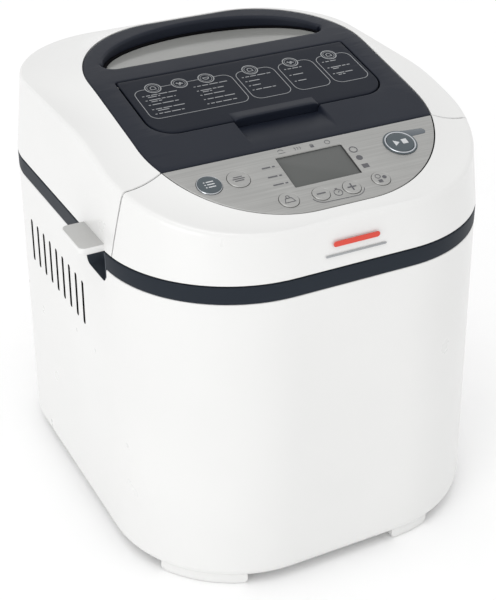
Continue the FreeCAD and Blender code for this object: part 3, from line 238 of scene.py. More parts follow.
def boolean(piece, cutters, operation="DIFFERENCE"):
    """Applies exact booleans with each cutter, a bmesh in millimetres, and deletes the cutters."""
    for cutter_bm in cutters:
        bmesh.ops.recalc_face_normals(cutter_bm, faces=cutter_bm.faces)
        bmesh.ops.scale(cutter_bm, vec=(MM, MM, MM), verts=cutter_bm.verts)
        mesh = bpy.data.meshes.new("cutter")
        cutter_bm.to_mesh(mesh)
        cutter_bm.free()
        cutter = bpy.data.objects.new("cutter", mesh)
        bpy.context.scene.collection.objects.link(cutter)
        modifier = piece.modifiers.new("cut", "BOOLEAN")
        modifier.operation = operation
        modifier.solver = "EXACT"
        modifier.object = cutter
        apply_modifiers(piece)
        bpy.data.objects.remove(cutter)
        bpy.data.meshes.remove(mesh)
    piece.data.polygons.foreach_set("use_smooth", [True] * len(piece.data.polygons))
    piece.data.set_sharp_from_angle(angle=math.radians(32))
    weighted = piece.modifiers.new("weighted", "WEIGHTED_NORMAL")
    weighted.keep_sharp = True
    apply_modifiers(piece)


def apply_modifiers(piece):
    depsgraph = bpy.context.evaluated_depsgraph_get()
    evaluated = piece.evaluated_get(depsgraph)
    mesh = bpy.data.meshes.new_from_object(evaluated, depsgraph=depsgraph)
    old = piece.data
    piece.modifiers.clear()
    piece.data = mesh
    bpy.data.meshes.remove(old)


def plate(name, outer, holes, height, thickness, material, body, outer_round=1.0, slice_step=3.0, columns=()):
    """A sheet over a curved height field, with rounded edges round its outline and its holes.

    outer is a function of an inset that gives the outline's points; each hole is a pair of such
    a function, whose inset moves into the sheet, and the round's radius there.
    """
    sheet_bm = bmesh.new()
    edges = []
    rims = [(outer, outer_round)] + list(holes)
    for loop_at, radius in rims:
        ring = [sheet_bm.verts.new((x, y, 0)) for x, y in loop_at(radius)]
        for first, second in zip(ring, ring[1:] + ring[:1]):
            edges.append(sheet_bm.edges.new((first, second)))
    bmesh.ops.triangle_fill(sheet_bm, use_beauty=True, use_dissolve=False, edges=edges)
    y_values = [vert.co.y for vert in sheet_bm.verts]
    level = min(y_values) + slice_step
    while level < max(y_values) - slice_step * 0.3:
        slice_sheet(sheet_bm, (0, level, 0), (0, 1, 0))
        level += slice_step
    for column in columns:
        slice_sheet(sheet_bm, (column, 0, 0), (1, 0, 0))
    border_loops = chains([edge for edge in sheet_bm.edges if len(edge.link_faces) == 1])
    for vert in sheet_bm.verts:
        vert.co.z = height(vert.co.x, vert.co.y)
    for loop in border_loops:
        loop_at, radius = nearest_rim(loop, rims)
        build_edge(sheet_bm, loop, loop_at, radius, height, thickness)
    return make_object(name, sheet_bm, material, 40.0, body)


def slice_sheet(sheet_bm, place, normal):
    geometry = sheet_bm.verts[:] + sheet_bm.edges[:] + sheet_bm.faces[:]
    bmesh.ops.bisect_plane(sheet_bm, geom=geometry, dist=0.0005, plane_co=place, plane_no=normal)


def chains(edges):
    """Ordered closed vertex loops of a set of border edges."""
    links = {}
    for edge in edges:
        for vert in edge.verts:
            links.setdefault(vert, []).append(edge.other_vert(vert))
    loops = []
    unused = set(links)
    while unused:
        start = min(unused, key=lambda vert: (round(vert.co.y, 4), round(vert.co.x, 4)))
        loop = [start]
        unused.discard(start)
        current = start
        while True:
            following = [vert for vert in links[current] if vert in unused]
            if not following:
                break
            current = following[0]
            unused.discard(current)
            loop.append(current)
        loops.append(loop)
    return loops


def nearest_rim(loop, rims):
    """The rim whose outline passes closest to the loop's points."""
    def distance(rim):
        loop_at, radius = rim
        points = loop_at(radius)
        sample = loop[:: max(1, len(loop) // 12)]
        return sum(min(math.hypot(v.co.x - x, v.co.y - y) for x, y in points) for v in sample)
    return min(rims, key=distance)


def build_edge(sheet_bm, loop, loop_at, radius, height, thickness):
    """The rounded edge, the side wall and the returning underside lip along one border loop."""
    steps = 5 if radius > 2 else 3
    border = loop_at(radius)
    edge = loop_at(0.0)
    directions = []
    for vert in loop:
        index, share = position_on(border, vert.co.x, vert.co.y)
        after = (index + 1) % len(border)
        x = edge[index][0] + (edge[after][0] - edge[index][0]) * share
        y = edge[index][1] + (edge[after][1] - edge[index][1]) * share
        directions.append((x - vert.co.x, y - vert.co.y))
    rows = [loop]
    levels = []
    for step in range(1, steps + 1):
        angle = math.radians(90 * step / steps)
        levels.append((math.sin(angle), radius * (1 - math.cos(angle))))
    levels.append((1.0, thickness))
    levels.append((-0.6, thickness))
    for share, drop in levels:
        row = []
        for vert, (dx, dy) in zip(loop, directions):
            x = vert.co.x + dx * share
            y = vert.co.y + dy * share
            row.append(sheet_bm.verts.new((x, y, height(x, y) - drop)))
        rows.append(row)
    for first, second in zip(rows, rows[1:]):
        bridge(sheet_bm, first, second)


def position_on(points, x, y):
    """(segment, share along it) of the closed outline's point nearest to x, y."""
    best = (1e9, 0, 0.0)
    for index, (x_start, y_start) in enumerate(points):
        x_end, y_end = points[(index + 1) % len(points)]
        dx, dy = x_end - x_start, y_end - y_start
        length = dx * dx + dy * dy
        share = 0.0 if length == 0 else max(0.0, min(1.0, ((x - x_start) * dx + (y - y_start) * dy) / length))
        gap = math.hypot(x_start + dx * share - x, y_start + dy * share - y)
        if gap < best[0]:
            best = (gap, index, share)
    return best[1], best[2]


# ---------------------------------------------------------------------------
# Materials
# ---------------------------------------------------------------------------


def base_material(name, color, roughness, metallic=0.0, coat=0.0, specular=0.5):
    material = bpy.data.materials.new(name)
    material.use_nodes = True
    shader = material.node_tree.nodes["Principled BSDF"]
    shader.inputs["Metallic"].default_value = metallic
    shader.inputs["Roughness"].default_value = roughness
    shader.inputs["Base Color"].default_value = (*color, 1.0)
    shader.inputs["Coat Weight"].default_value = coat
    shader.inputs["Specular IOR Level"].default_value = specular
    return material, material.node_tree, shader


def add_noise(tree, scale, detail=3.0, stretch=(1.0, 1.0, 1.0)):
    coordinates = tree.nodes.new("ShaderNodeTexCoord")
    mapping = tree.nodes.new("ShaderNodeMapping")
    mapping.inputs["Scale"].default_value = stretch
    noise = tree.nodes.new("ShaderNodeTexNoise")
    noise.inputs["Scale"].default_value = scale
    noise.inputs["Detail"].default_value = detail
    tree.links.new(coordinates.outputs["Object"], mapping.inputs["Vector"])
    tree.links.new(mapping.outputs["Vector"], noise.inputs["Vector"])
    return noise


def add_ramp(tree, source, low, high, low_at=0.35, high_at=0.65):
    ramp = tree.nodes.new("ShaderNodeValToRGB")
    ramp.color_ramp.elements[0].position = low_at
    ramp.color_ramp.elements[1].position = high_at
    ramp.color_ramp.elements[0].color = (*low, 1.0)
    ramp.color_ramp.elements[1].color = (*high, 1.0)
    tree.links.new(source, ramp.inputs["Fac"])
    return ramp


def add_range(tree, source, low, high):
    remap = tree.nodes.new("ShaderNodeMapRange")
    remap.inputs["To Min"].default_value = low
    remap.inputs["To Max"].default_value = high
    tree.links.new(source, remap.inputs["Value"])
    return remap


def add_bump(tree, shader, source, strength, distance):
    bump = tree.nodes.new("ShaderNodeBump")
    bump.inputs["Strength"].default_value = strength
    bump.inputs["Distance"].default_value = distance
    tree.links.new(source, bump.inputs["Height"])
    tree.links.new(bump.outputs["Normal"], shader.inputs["Normal"])


def moulded(name, color, roughness, spread, grain, bump, specular=0.5, coat=0.0):
    """Moulded plastic: slow tone drift, fine spark-eroded grain and uneven gloss."""
    material, tree, shader = base_material(name, color, roughness, coat=coat, specular=specular)
    drift = add_noise(tree, 9.0, 2.0)
    low = tuple(max(0.0, channel * (1 - spread)) for channel in color)
    high = tuple(min(1.0, channel * (1 + spread)) for channel in color)
    ramp = add_ramp(tree, drift.outputs["Fac"], low, high)
    tree.links.new(ramp.outputs["Color"], shader.inputs["Base Color"])
    gloss = add_noise(tree, 38.0, 4.0)
    remap = add_range(tree, gloss.outputs["Fac"], roughness - 0.06, roughness + 0.06)
    tree.links.new(remap.outputs["Result"], shader.inputs["Roughness"])
    fine = add_noise(tree, grain, 2.0)
    add_bump(tree, shader, fine.outputs["Fac"], bump, 0.0001)
    return material


def brushed(name, color, roughness, stretch, bump, spread):
    """Brushed metal: long streaks in tone, gloss and relief along one direction."""
    material, tree, shader = base_material(name, color, roughness, metallic=1.0)
    streaks = add_noise(tree, 1.0, 6.0, stretch)
    low = tuple(channel * (1 - spread) for channel in color)
    high = tuple(min(1.0, channel * (1 + spread)) for channel in color)
    ramp = add_ramp(tree, streaks.outputs["Fac"], low, high, 0.3, 0.7)
    tree.links.new(ramp.outputs["Color"], shader.inputs["Base Color"])
    remap = add_range(tree, streaks.outputs["Fac"], roughness - 0.08, roughness + 0.10)
    tree.links.new(remap.outputs["Result"], shader.inputs["Roughness"])
    add_bump(tree, shader, streaks.outputs["Fac"], bump, 0.00005)
    return material


# Plastics, rubbers, boards and prints: colour, roughness, tone spread, grain scale and relief, then
# specular level and coat where they aren't the usual ones.
MOULDED = {
    "white_plastic": ((0.75, 0.75, 0.742), 0.30, 0.012, 1500.0, 0.02, 0.5, 0.25),
    "anthracite_plastic": ((0.010, 0.013, 0.022), 0.45, 0.06, 2600.0, 0.06, 0.2),
    # hatch_plastic is anthracite_plastic made darker, with less specular, for the hatch's face: painted
    # shade.
    "hatch_plastic": ((0.0065, 0.0090, 0.0165), 0.45, 0.06, 2600.0, 0.06, 0.14),
    "band_plastic": ((0.018, 0.023, 0.031), 0.48, 0.06, 2600.0, 0.05, 0.10),
    "grey_plastic": ((0.47, 0.47, 0.46), 0.40, 0.03, 2000.0, 0.05),
    "black_plastic": ((0.02, 0.02, 0.022), 0.5, 0.1, 1800.0, 0.1),
    # dull_black is painted shade: a near-black for the window's gap, the vent slots, the seam and the gap
    # round the panel.
    "dull_black": ((0.004, 0.004, 0.005), 0.8, 0.1, 900.0, 0.1, 0.04),
    # pocket_plastic is the band's dark plastic made lighter: its real dark colour plus painted light in the
    # shaded finger pockets.
    "pocket_plastic": ((0.045, 0.055, 0.070), 0.5, 0.06, 2600.0, 0.05, 0.3),
    "blue_grey_plastic": ((0.055, 0.072, 0.083), 0.35, 0.05, 2600.0, 0.04),
    "coated_steel": ((0.22, 0.225, 0.23), 0.45, 0.10, 700.0, 0.10),
    "nonstick": ((0.035, 0.035, 0.038), 0.38, 0.30, 900.0, 0.16),
    "rubber": ((0.018, 0.018, 0.020), 0.65, 0.15, 900.0, 0.15),
    "circuit_board": ((0.02, 0.13, 0.05), 0.35, 0.25, 300.0, 0.1),
    "lamp_lens": ((0.10, 0.115, 0.13), 0.22, 0.08, 1200.0, 0.03),
    "display_glass": ((0.100, 0.104, 0.101), 0.30, 0.05, 500.0, 0.01, 0.3),
    "print_grey": ((0.30, 0.31, 0.32), 0.55, 0.10, 1500.0, 0.05),
    "print_dark": ((0.10, 0.10, 0.11), 0.55, 0.10, 1500.0, 0.05),
    "print_white": ((0.55, 0.56, 0.57), 0.5, 0.05, 1500.0, 0.05),
    "print_red": ((0.62, 0.05, 0.03), 0.45, 0.08, 1500.0, 0.05),
}
# Metals: colour, roughness, the streaks' scale along each axis, their relief and their tone spread.
BRUSHED = {
    "silver_button": ((0.42, 0.42, 0.41), 0.40, (30.0, 900.0, 900.0), 0.05, 0.06),
    "brushed_panel": ((0.42, 0.42, 0.41), 0.42, (14.0, 1100.0, 1100.0), 0.10, 0.10),
    "chrome_trim": ((0.55, 0.57, 0.60), 0.16, (600.0, 600.0, 600.0), 0.02, 0.04),
    "plain_steel": ((0.55, 0.55, 0.54), 0.30, (60.0, 400.0, 60.0), 0.06, 0.08),
    "heater_steel": ((0.20, 0.17, 0.15), 0.45, (90.0, 90.0, 90.0), 0.1, 0.35),
    "bronze": ((0.55, 0.36, 0.16), 0.35, (300.0, 300.0, 300.0), 0.08, 0.12),
}


def make_materials():
    made = {name: moulded(name, *look) for name, look in MOULDED.items()}
    made.update((name, brushed(name, *look)) for name, look in BRUSHED.items())
    glass, tree, shader = base_material("clear_glass", (0.40, 0.405, 0.39), 0.12)
    smudge = add_noise(tree, 26.0, 5.0)
    remap = add_range(tree, smudge.outputs["Fac"], 0.08, 0.2)
    tree.links.new(remap.outputs["Result"], shader.inputs["Roughness"])
    tone = add_noise(tree, 6.0, 2.0)
    ramp = add_ramp(tree, tone.outputs["Fac"], (0.36, 0.365, 0.35), (0.42, 0.425, 0.41))
    tree.links.new(ramp.outputs["Color"], shader.inputs["Base Color"])
    shader.inputs["Transmission Weight"].default_value = 0.35
    made["clear_glass"] = glass
    return made


MATERIALS = make_materials()
node_slots = {entry["node"]: entry["material_slot"] for entry in frame["record"]["subparts"]}
for node_name, node_object in frame["nodes"].items():
    node_object.data.materials.clear()
    # The window's gasket gets dull_black, darker than its rubber: its real dark colour plus painted shade for
    # the deep gap round the glass.
    look = "dull_black" if node_name == "window_gasket" else node_slots[node_name]
    node_object.data.materials.append(MATERIALS[look])

# ---------------------------------------------------------------------------
# Lower casing
# ---------------------------------------------------------------------------


def vent_outline(y, half):
    """A slot with round ends, seen from the side."""
    spare = VENT_HALF - half
    radius = half - 0.05
    return rounded_rectangle(y - half, y + half, VENT_BOTTOM + spare, VENT_TOP - spare, radius, radius, 5, 1)


def make_vent_painted_shade(side, name):
    """Painted shade for the vents: a thin near-black sleeve in each slot, and a near-black baffle behind
    them.
    """
    vent_shade_bm = bmesh.new()
    for index in range(VENT_COUNT):
        y = VENT_BACK_Y - index * VENT_PITCH
        outer, inner = VENT_HALF + 0.02, VENT_HALF - 0.3
        loops = [[Vector((side * (BODY_HALF_WIDTH + flare_at(z) - depth), along, z))
                  for along, z in vent_outline(y, half)]
                 for half, depth in ((outer, 6.0), (outer, 0.03), (inner, 0.03), (inner, 6.0))]
        loft(loops, closed_along=True, into=vent_shade_bm)
    low_y = VENT_BACK_Y - (VENT_COUNT - 1) * VENT_PITCH - 5
    baffle = rounded_rectangle(low_y, VENT_BACK_Y + 5, VENT_BOTTOM - 5, VENT_TOP + 5, 3.0, 3.0, 5, 1)
    loft([[Vector((side * (BODY_HALF_WIDTH - depth), a, b)) for a, b in baffle] for depth in (7.0, 5.9)],
         cap_start=True, cap_end=True, into=vent_shade_bm)
    piece = make_object(f"vent_painted_shade_{name}", vent_shade_bm, MATERIALS["dull_black"], body="base")


def make_body_shell():
    rows = [(FLOOR_OPENING_INSET, FOOT_HEIGHT)]
    for inset, rise in reversed(arc_profile(BOTTOM_ROUND, 8, 0, 90)):
        rows.append((inset - BASE_FLARE, FOOT_HEIGHT + BOTTOM_ROUND - rise))
    for step in range(1, 8):
        z = FOOT_HEIGHT + BOTTOM_ROUND + step / 8 * (BAND_BOTTOM - FOOT_HEIGHT - BOTTOM_ROUND - 1)
        rows.append((-flare_at(z), z))
    for inset, rise in arc_profile(0.8, 3, 0, 90):
        rows.append((inset, BAND_BOTTOM - 0.8 + rise))
    floor_top = FOOT_HEIGHT + FLOOR_THICKNESS
    rows += [(WALL, BAND_BOTTOM), (WALL - flare_at(120.0), 120.0), (WALL - BASE_FLARE, floor_top + 6.0),
             (WALL - BASE_FLARE + 3.0, floor_top), (FLOOR_OPENING_INSET, floor_top)]
    shell = make_object("casing_shell", loft([casing_loop(*row) for row in rows], closed_along=True),
                        MATERIALS["white_plastic"], body="base")
    cutters = []
    for side in (-1, 1):
        x = (side * (BODY_HALF_WIDTH - 12), side * (BODY_HALF_WIDTH + 6))
        for index in range(VENT_COUNT):
            y = VENT_BACK_Y - index * VENT_PITCH
            cutters.append(prism(vent_outline(y, VENT_HALF), "x", min(x), max(x)))
        pocket = rounded_rectangle(POCKET_FRONT, POCKET_BACK, POCKET_BOTTOM, BAND_BOTTOM + 6,
                                   POCKET_CORNER, 0.1, 10, 1)
        cutters.append(prism(pocket, "x", min(x), max(x)))
    cutters.append(loft([[Vector((x, y, z)) for x, z in circle(*INLET, 45)] for y in (140.0, 165.0)],
                        cap_start=True, cap_end=True))
    joined = bmesh.new()
    for cutter in cutters:
        mesh = bpy.data.meshes.new("part")
        cutter.to_mesh(mesh)
        cutter.free()
        joined.from_mesh(mesh)
        bpy.data.meshes.remove(mesh)
    boolean(shell, [joined])
    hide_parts("body_shell")
    # Painted shade in the vent slots on both sides.
    make_vent_painted_shade(-1, "left")
    make_vent_painted_shade(1, "right")


make_body_shell()


def make_trim_band():
    rows = []
    for inset, rise in reversed(arc_profile(0.9, 3, 0, 90)):
        rows.append((inset, BAND_BOTTOM + 0.9 - rise))
    for inset, rise in arc_profile(0.9, 3, 0, 90):
        rows.append((inset, BAND_TOP - 0.9 + rise))
    rows += [(9.0, BAND_TOP), (9.0, BAND_BOTTOM)]
    band = make_object("band_ring", loft([casing_loop(*row) for row in rows], closed_along=True),
                       MATERIALS["band_plastic"], body="base")
    cutters = []
    for side in (-1, 1):
        x = (side * (BODY_HALF_WIDTH - POCKET_DEPTH), side * (BODY_HALF_WIDTH + 6))
        cutters.append(box_cutter((min(x), max(x)), (POCKET_FRONT, POCKET_BACK), (200.0, 240.0)))
    boolean(band, cutters)
    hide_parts("trim_band")
    for side, name in ((-1, "left"), (1, "right")):
        make_pocket(side, name)


def make_pocket(side, name):
    """A dark cup with rounded corners, open outwards and upwards, behind the casing's notch."""
    def section(grow, x):
        outline = rounded_rectangle(POCKET_FRONT - grow, POCKET_BACK + grow, POCKET_BOTTOM - grow,
                                    BAND_TOP, POCKET_CORNER + grow, 0.1, 10, 1)
        return [Vector((side * x, y, z)) for y, z in outline]
    inner = BODY_HALF_WIDTH - POCKET_DEPTH
    lip = BODY_HALF_WIDTH - 0.05
    behind_wall = BODY_HALF_WIDTH - WALL - 0.1
    rows = ((-2.5, inner), (-0.9, inner + 0.7), (-0.15, inner + 3.0), (-0.15, lip), (0.9, lip),
            (0.9, behind_wall), (1.8, behind_wall), (1.8, inner - 1.6))
    loops = [section(grow, x) for grow, x in rows]
    # The cup's plastic is lighter than the band's: painted light in the pocket's shade.
    cup = make_object(f"finger_pocket_{name}", loft(loops, cap_start=True, cap_end=True),
                      MATERIALS["pocket_plastic"], body="base")


make_trim_band()

# ---------------------------------------------------------------------------
# Upper casing: one ring, parted by the seam
# ---------------------------------------------------------------------------


def crease_height(y):
    share = min(1.0, max(0.0, (y + CREASE_FRONT) / CREASE_RISE_DEPTH))
    rise = CREASE_BACK_HEIGHT - CREASE_FRONT_HEIGHT
    return CREASE_FRONT_HEIGHT + rise * math.sin(math.pi / 2 * share ** 1.4)


def top_height(y):
    """Side view of the top, its corners eased."""
    slope = (HATCH_BACK[1] - HATCH_FRONT[1]) / (HATCH_BACK[0] - HATCH_FRONT[0])
    panel = PANEL_BACK_Z + (y - PANEL_BACK_Y) * math.tan(PANEL_ANGLE)
    front_slope = (HATCH_FRONT[1] - PANEL_BACK_Z) / (HATCH_FRONT[0] - PANEL_BACK_Y)
    front = PANEL_BACK_Z + (y - PANEL_BACK_Y) * front_slope
    hatch = HATCH_FRONT[1] + (y - HATCH_FRONT[0]) * slope
    if y <= PANEL_BACK_Y:
        return panel
    if y <= HATCH_FRONT[0]:
        return front
    ease = 10.0
    rear_slope = (COVER_BACK_HEIGHT - HATCH_BACK[1]) / (RIM_BACK - HATCH_BACK[0])
    past = y - (HATCH_BACK[0] - ease)
    if past <= 0:
        return hatch
    if past >= 2 * ease:
        return HATCH_BACK[1] + (y - HATCH_BACK[0]) * rear_slope
    return hatch - (slope - rear_slope) * past * past / (4 * ease)


def rim_points(inset):
    return rounded_rectangle(-RIM_HALF_WIDTH + inset, RIM_HALF_WIDTH - inset, -RIM_FRONT + inset,
                             RIM_BACK - inset, RIM_FRONT_RADIUS - inset, RIM_BACK_RADIUS - inset,
                             CORNER_STEPS, SIDE_STEPS)


def ring_loops():
    """Loops up the wall, over the soft crease, across the hollow bevel, over the lip and back inside."""
    bottom = casing_loop(0.0, LID_BOTTOM)
    crease = [Vector((x, y, crease_height(y))) for x, y in rounded_rectangle(
        -CREASE_HALF_WIDTH, CREASE_HALF_WIDTH, -CREASE_FRONT, CREASE_BACK, FRONT_RADIUS, REAR_RADIUS,
        CORNER_STEPS, SIDE_STEPS)]
    rim = [Vector((x, y, top_height(y))) for x, y in rim_points(0.0)]
    soft = 3.0
    wall_rows, soft_rows, bevel_rows = 8, 8, 10
    loops = []
    for inset, rise in reversed(arc_profile(0.7, 3, 0, 90)):
        loops.append([point + Vector((0, 0, 0.7 - rise)) + inward(point, inset) for point in bottom])
    for row in range(1, wall_rows + 1):
        share = row / wall_rows
        loops.append([b + (c - b) * share * (1 - soft / (c - b).length) for b, c in zip(bottom, crease)])
    for row in range(1, soft_rows + 1):
        loops.append([eased_corner(b, c, r, soft, row / soft_rows) for b, c, r in zip(bottom, crease, rim)])
    for row in range(1, bevel_rows + 1):
        loops.append([hollow_bevel(c, r, soft, row / bevel_rows) for c, r in zip(crease, rim)])
    loops.append([point - Vector((0, 0, 0.25)) + inward(point, 0.1) for point in rim])
    loops.append([point - Vector((0, 0, 0.8)) + inward(point, 0.0) for point in rim])
    loops.append([point - Vector((0, 0, WALL + 1.0)) for point in rim])
    loops.append([c + (r - c) * 0.5 - Vector((0, 0, WALL + 1.6)) for c, r in zip(crease, rim)])
    loops.append([c - Vector((0, 0, WALL + 0.8)) + inward(c, WALL) for c in crease])
    loops.append([b + inward(b, WALL) for b in bottom])
    return loops


def inward(point, distance):
    """A horizontal step towards the casing's middle."""
    half_width = BODY_HALF_WIDTH - FRONT_RADIUS
    x = max(-half_width, min(half_width, point.x))
    y = max(FRONT_RADIUS - BODY_HALF_DEPTH, min(BODY_HALF_DEPTH - REAR_RADIUS, point.y))
    direction = Vector((x - point.x, y - point.y, 0))
    return direction.normalized() * distance if direction.length > 0 else Vector()


def eased_corner(bottom, crease, rim, soft, share):
    """A point of the round that replaces the crease's sharp corner."""
    start = crease + (bottom - crease).normalized() * soft
    reach = min(soft, 0.45 * (rim - crease).length)
    end = crease + (rim - crease).normalized() * reach
    return start * (1 - share) ** 2 + crease * 2 * share * (1 - share) + end * share ** 2


def hollow_bevel(crease, rim, soft, share):
    """A point across the bevel: slightly hollow, with a fine raised lip at the rim."""
    length = (rim - crease).length
    reach = min(soft, 0.45 * length)
    start = crease + (rim - crease).normalized() * reach
    point = start + (rim - start) * share
    sink = 0.045 * (length - reach) * 4 * share * (1 - share)
    return point - Vector((0, 0, sink))


def seam_region(shift, far_y):
    """The side view of everything beyond the seam, for cutting the ring."""
    return [(SEAM_BOTTOM_Y + shift, 200.0), (SEAM_BOTTOM_Y + shift, LID_BOTTOM),
            (SEAM_CREASE[0] + shift, SEAM_CREASE[1]), (PANEL_BACK_Y + shift, PANEL_BACK_Z),
            (PANEL_BACK_Y + shift, 320.0), (far_y, 320.0), (far_y, 200.0)]


def make_seam_painted_shade():
    """Painted shade in the seam: a near-black strip along the console's edge, a little below the surface,
    seen through the seam.
    """
    front = seam_region(-1.2, 0.0)[1:5]
    back = seam_region(SEAM_SHOWN_HALF - 0.1, 0.0)[1:5]
    sunk = [[point + inward(point, 0.7) - Vector((0, 0, 0.4)) for point in loop] for loop in ring_loops()]
    strip = make_object("seam_painted_shade", loft(sunk, closed_along=True), MATERIALS["dull_black"], body="base")
    boolean(strip, [prism(front + list(reversed(back)), "x", -150.0, 150.0)], "INTERSECT")


def make_upper_casing():
    white = MATERIALS["white_plastic"]
    lid = make_object("lid_casing", loft(ring_loops(), closed_along=True), white, body="lid")
    hinge_y, hinge_z = LID_HINGE
    relief_round = circle(hinge_y, hinge_z, HINGE_RELIEF_RADIUS, 60)
    boolean(lid, [prism(seam_region(SEAM_SHOWN_HALF, -200.0), "x", -150.0, 150.0),
                  prism(relief_round, "x", -HINGE_HALF_WIDTH, HINGE_HALF_WIDTH),
                  box_cutter((-HINGE_HALF_WIDTH, HINGE_HALF_WIDTH), (hinge_y - HINGE_RELIEF_RADIUS, 165.0),
                             (220.0, hinge_z))])
    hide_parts("lid_shell")
    console = make_object("console_casing", loft(ring_loops(), closed_along=True), white, body="base")
    boolean(console, [prism(seam_region(-SEAM_SHOWN_HALF, 200.0), "x", -150.0, 150.0)])
    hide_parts("console_shell")
    make_seam_painted_shade()


make_upper_casing()

GRIP_TOP = 234.0
GRIP_REACH = 144.6


def grip_slab(side, rows):
    """A slab with rounded corners through rows of (inset, height)."""
    loops = []
    for inset, z in rows:
        outline = rounded_rectangle(125.0 + inset, GRIP_REACH - inset, POCKET_FRONT + inset,
                                    POCKET_BACK + 2 - inset, 4.5 - inset, 4.5 - inset, 8, 3)
        loops.append([Vector((side * x, y, z)) for x, y in outline])
    return loft(loops, cap_start=True, cap_end=True)


def make_grips():
    """White tabs to lift the lid by, each with a thin grey layer over its top: painted shade that makes the
    top darker than the white sides.
    """
    for side, name in ((-1, "left"), (1, "right")):
        rows = [(inset, LID_BOTTOM + 1.0 - rise) for inset, rise in reversed(arc_profile(1.0, 4, 0, 90))]
        rows += [(inset, GRIP_TOP - 1.2 + rise) for inset, rise in arc_profile(0.8, 4, 0, 90)]
        grip = make_object(f"grip_tab_{name}", grip_slab(side, rows), MATERIALS["white_plastic"], body="lid")
        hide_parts(f"lid_grip_{name}")
        # A thin grey layer over the tab's top: painted shade.
        rows = [(0.75, GRIP_TOP - 0.6), (0.5, GRIP_TOP - 0.35), (0.6, GRIP_TOP - 0.1), (0.85, GRIP_TOP)]
        top_shade = make_object(f"grip_top_shade_{name}", grip_slab(side, rows), MATERIALS["grey_plastic"], body="lid")


make_grips()

# ---------------------------------------------------------------------------
# Cover, hatch and window
# ---------------------------------------------------------------------------


def cover_outline(inset):
    """The rear part of the rim's outline, straight along the panel's back edge."""
    front = PANEL_BACK_Y + SEAM_HALF_GAP + inset
    half = RIM_HALF_WIDTH - RIM_GAP - inset
    front_centre = -RIM_FRONT + RIM_FRONT_RADIUS
    radius = RIM_FRONT_RADIUS - RIM_GAP - inset
    start_angle = math.asin((front - front_centre) / radius)
    points = []
    steps = 10
    for step in range(steps + 1):
        angle = start_angle * (1 - step / steps)
        points.append((half - radius + radius * math.cos(angle), front_centre + radius * math.sin(angle)))
    back_centre = RIM_BACK - RIM_BACK_RADIUS
    points += straight_points(points[-1], (half, back_centre), 8)
    back_radius = RIM_BACK_RADIUS - RIM_GAP - inset
    points += arc_points(half - back_radius, back_centre, back_radius, 0, 90, 40)
    return with_mirror(points, 6, 16)


def with_mirror(points, far_steps, near_steps):
    """A right half outline closed by its mirror image, with straight points across the gaps."""
    mirrored = [(-x, y) for x, y in reversed(points)]
    far = straight_points(points[-1], mirrored[0], far_steps)
    return points + far + mirrored + straight_points(mirrored[-1], points[0], near_steps)


WINDOW_HALF_WIDTH = 82.5
WINDOW_FRONT = 31.0
WINDOW_DEPTH = 47.0
WINDOW_CORNER = 9.0


def window_opening(inset):
    """Half an ellipse behind a straight front with rounded corners; inset moves out into the cover."""
    half, depth = WINDOW_HALF_WIDTH + inset, WINDOW_DEPTH + inset
    front = WINDOW_FRONT - inset
    corner = WINDOW_CORNER + inset
    points = arc_points(half - corner, front + corner, corner, 270, 360, 8)
    first = math.asin(min(1.0, (corner + inset) / depth))
    for step in range(61):
        angle = first + (math.pi - 2 * first) * step / 60
        points.append((half * math.cos(angle), WINDOW_FRONT + depth * math.sin(angle)))
    points += [(-half + corner - corner * math.sin(a), front + corner - corner * math.cos(a))
               for a in (math.radians(90 - 90 * step / 8) for step in range(9))]
    return points + straight_points(points[-1], points[0], 24)


def hatch_opening(inset):
    grow = HATCH_GAP + inset
    return rounded_rectangle(-HATCH_HALF_WIDTH - grow, HATCH_HALF_WIDTH + grow, HATCH_FRONT[0] - grow,
                             HATCH_BACK[0] + grow, 17.0 + grow, 1.7 + grow, 12, 12)


def hatch_plan(inset):
    inset += HATCH_DOOR_INSET
    return rounded_rectangle(-HATCH_HALF_WIDTH + inset, HATCH_HALF_WIDTH - inset, HATCH_FRONT[0] + inset,
                             HATCH_BACK[0] - inset, 17.0 - inset, 2.0 - inset, 12, 12)


def hatch_height(y):
    slope = (HATCH_BACK[1] - HATCH_FRONT[1]) / (HATCH_BACK[0] - HATCH_FRONT[0])
    return HATCH_FRONT[1] + (y - HATCH_FRONT[0]) * slope


LIP_HALF_WIDTH = 30.0
LIP_FRONT = -53.6
LIP_BACK = -44.0
LIP_RISE = 1.9
SCOOP_FRONT = -76.0
SCOOP_DEPTH = 4.5


def smooth_step(value):
    value = max(0.0, min(1.0, value))
    return value * value * (3 - 2 * value)


def cover_height(x, y):
    """The side view's curve, with the finger scoop pressed in before the hatch's lip."""
    across = smooth_step((LIP_HALF_WIDTH + 1.2 - abs(x)) / 2.5)
    share = max(0.0, min(1.0, (y - SCOOP_FRONT) / (HATCH_FRONT[0] - SCOOP_FRONT)))
    along = share ** 1.2 if y < HATCH_FRONT[0] + 1 else 0.0
    return top_height(y) - SCOOP_DEPTH * across * along


def door_height(x, y):
    """The hatch's plane, a hair below the cover's curve where that eases to the flat."""
    return min(top_height(y), hatch_height(y))


def make_cover():
    dark = MATERIALS["anthracite_plastic"]
    columns = [side * (28.4 + 0.45 * step) for side in (-1, 1) for step in range(8)]
    cover = plate("top_cover", cover_outline, [(window_opening, 2.2), (hatch_opening, 0.7)], cover_height,
                  9.0, dark, "lid", 1.2, columns=columns)
    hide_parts("lid_cover")
    # The hatch's face is drawn darker than the anthracite its lip keeps: painted shade.
    door = plate("hatch_door", hatch_plan, [], door_height, 3.0, MATERIALS["hatch_plastic"], "hatch", 0.7)
    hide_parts("dispenser_hatch")
    lip = make_object("hatch_lip", loft(lip_sections(), cap_start=True, cap_end=True), dark, 40.0, "hatch")


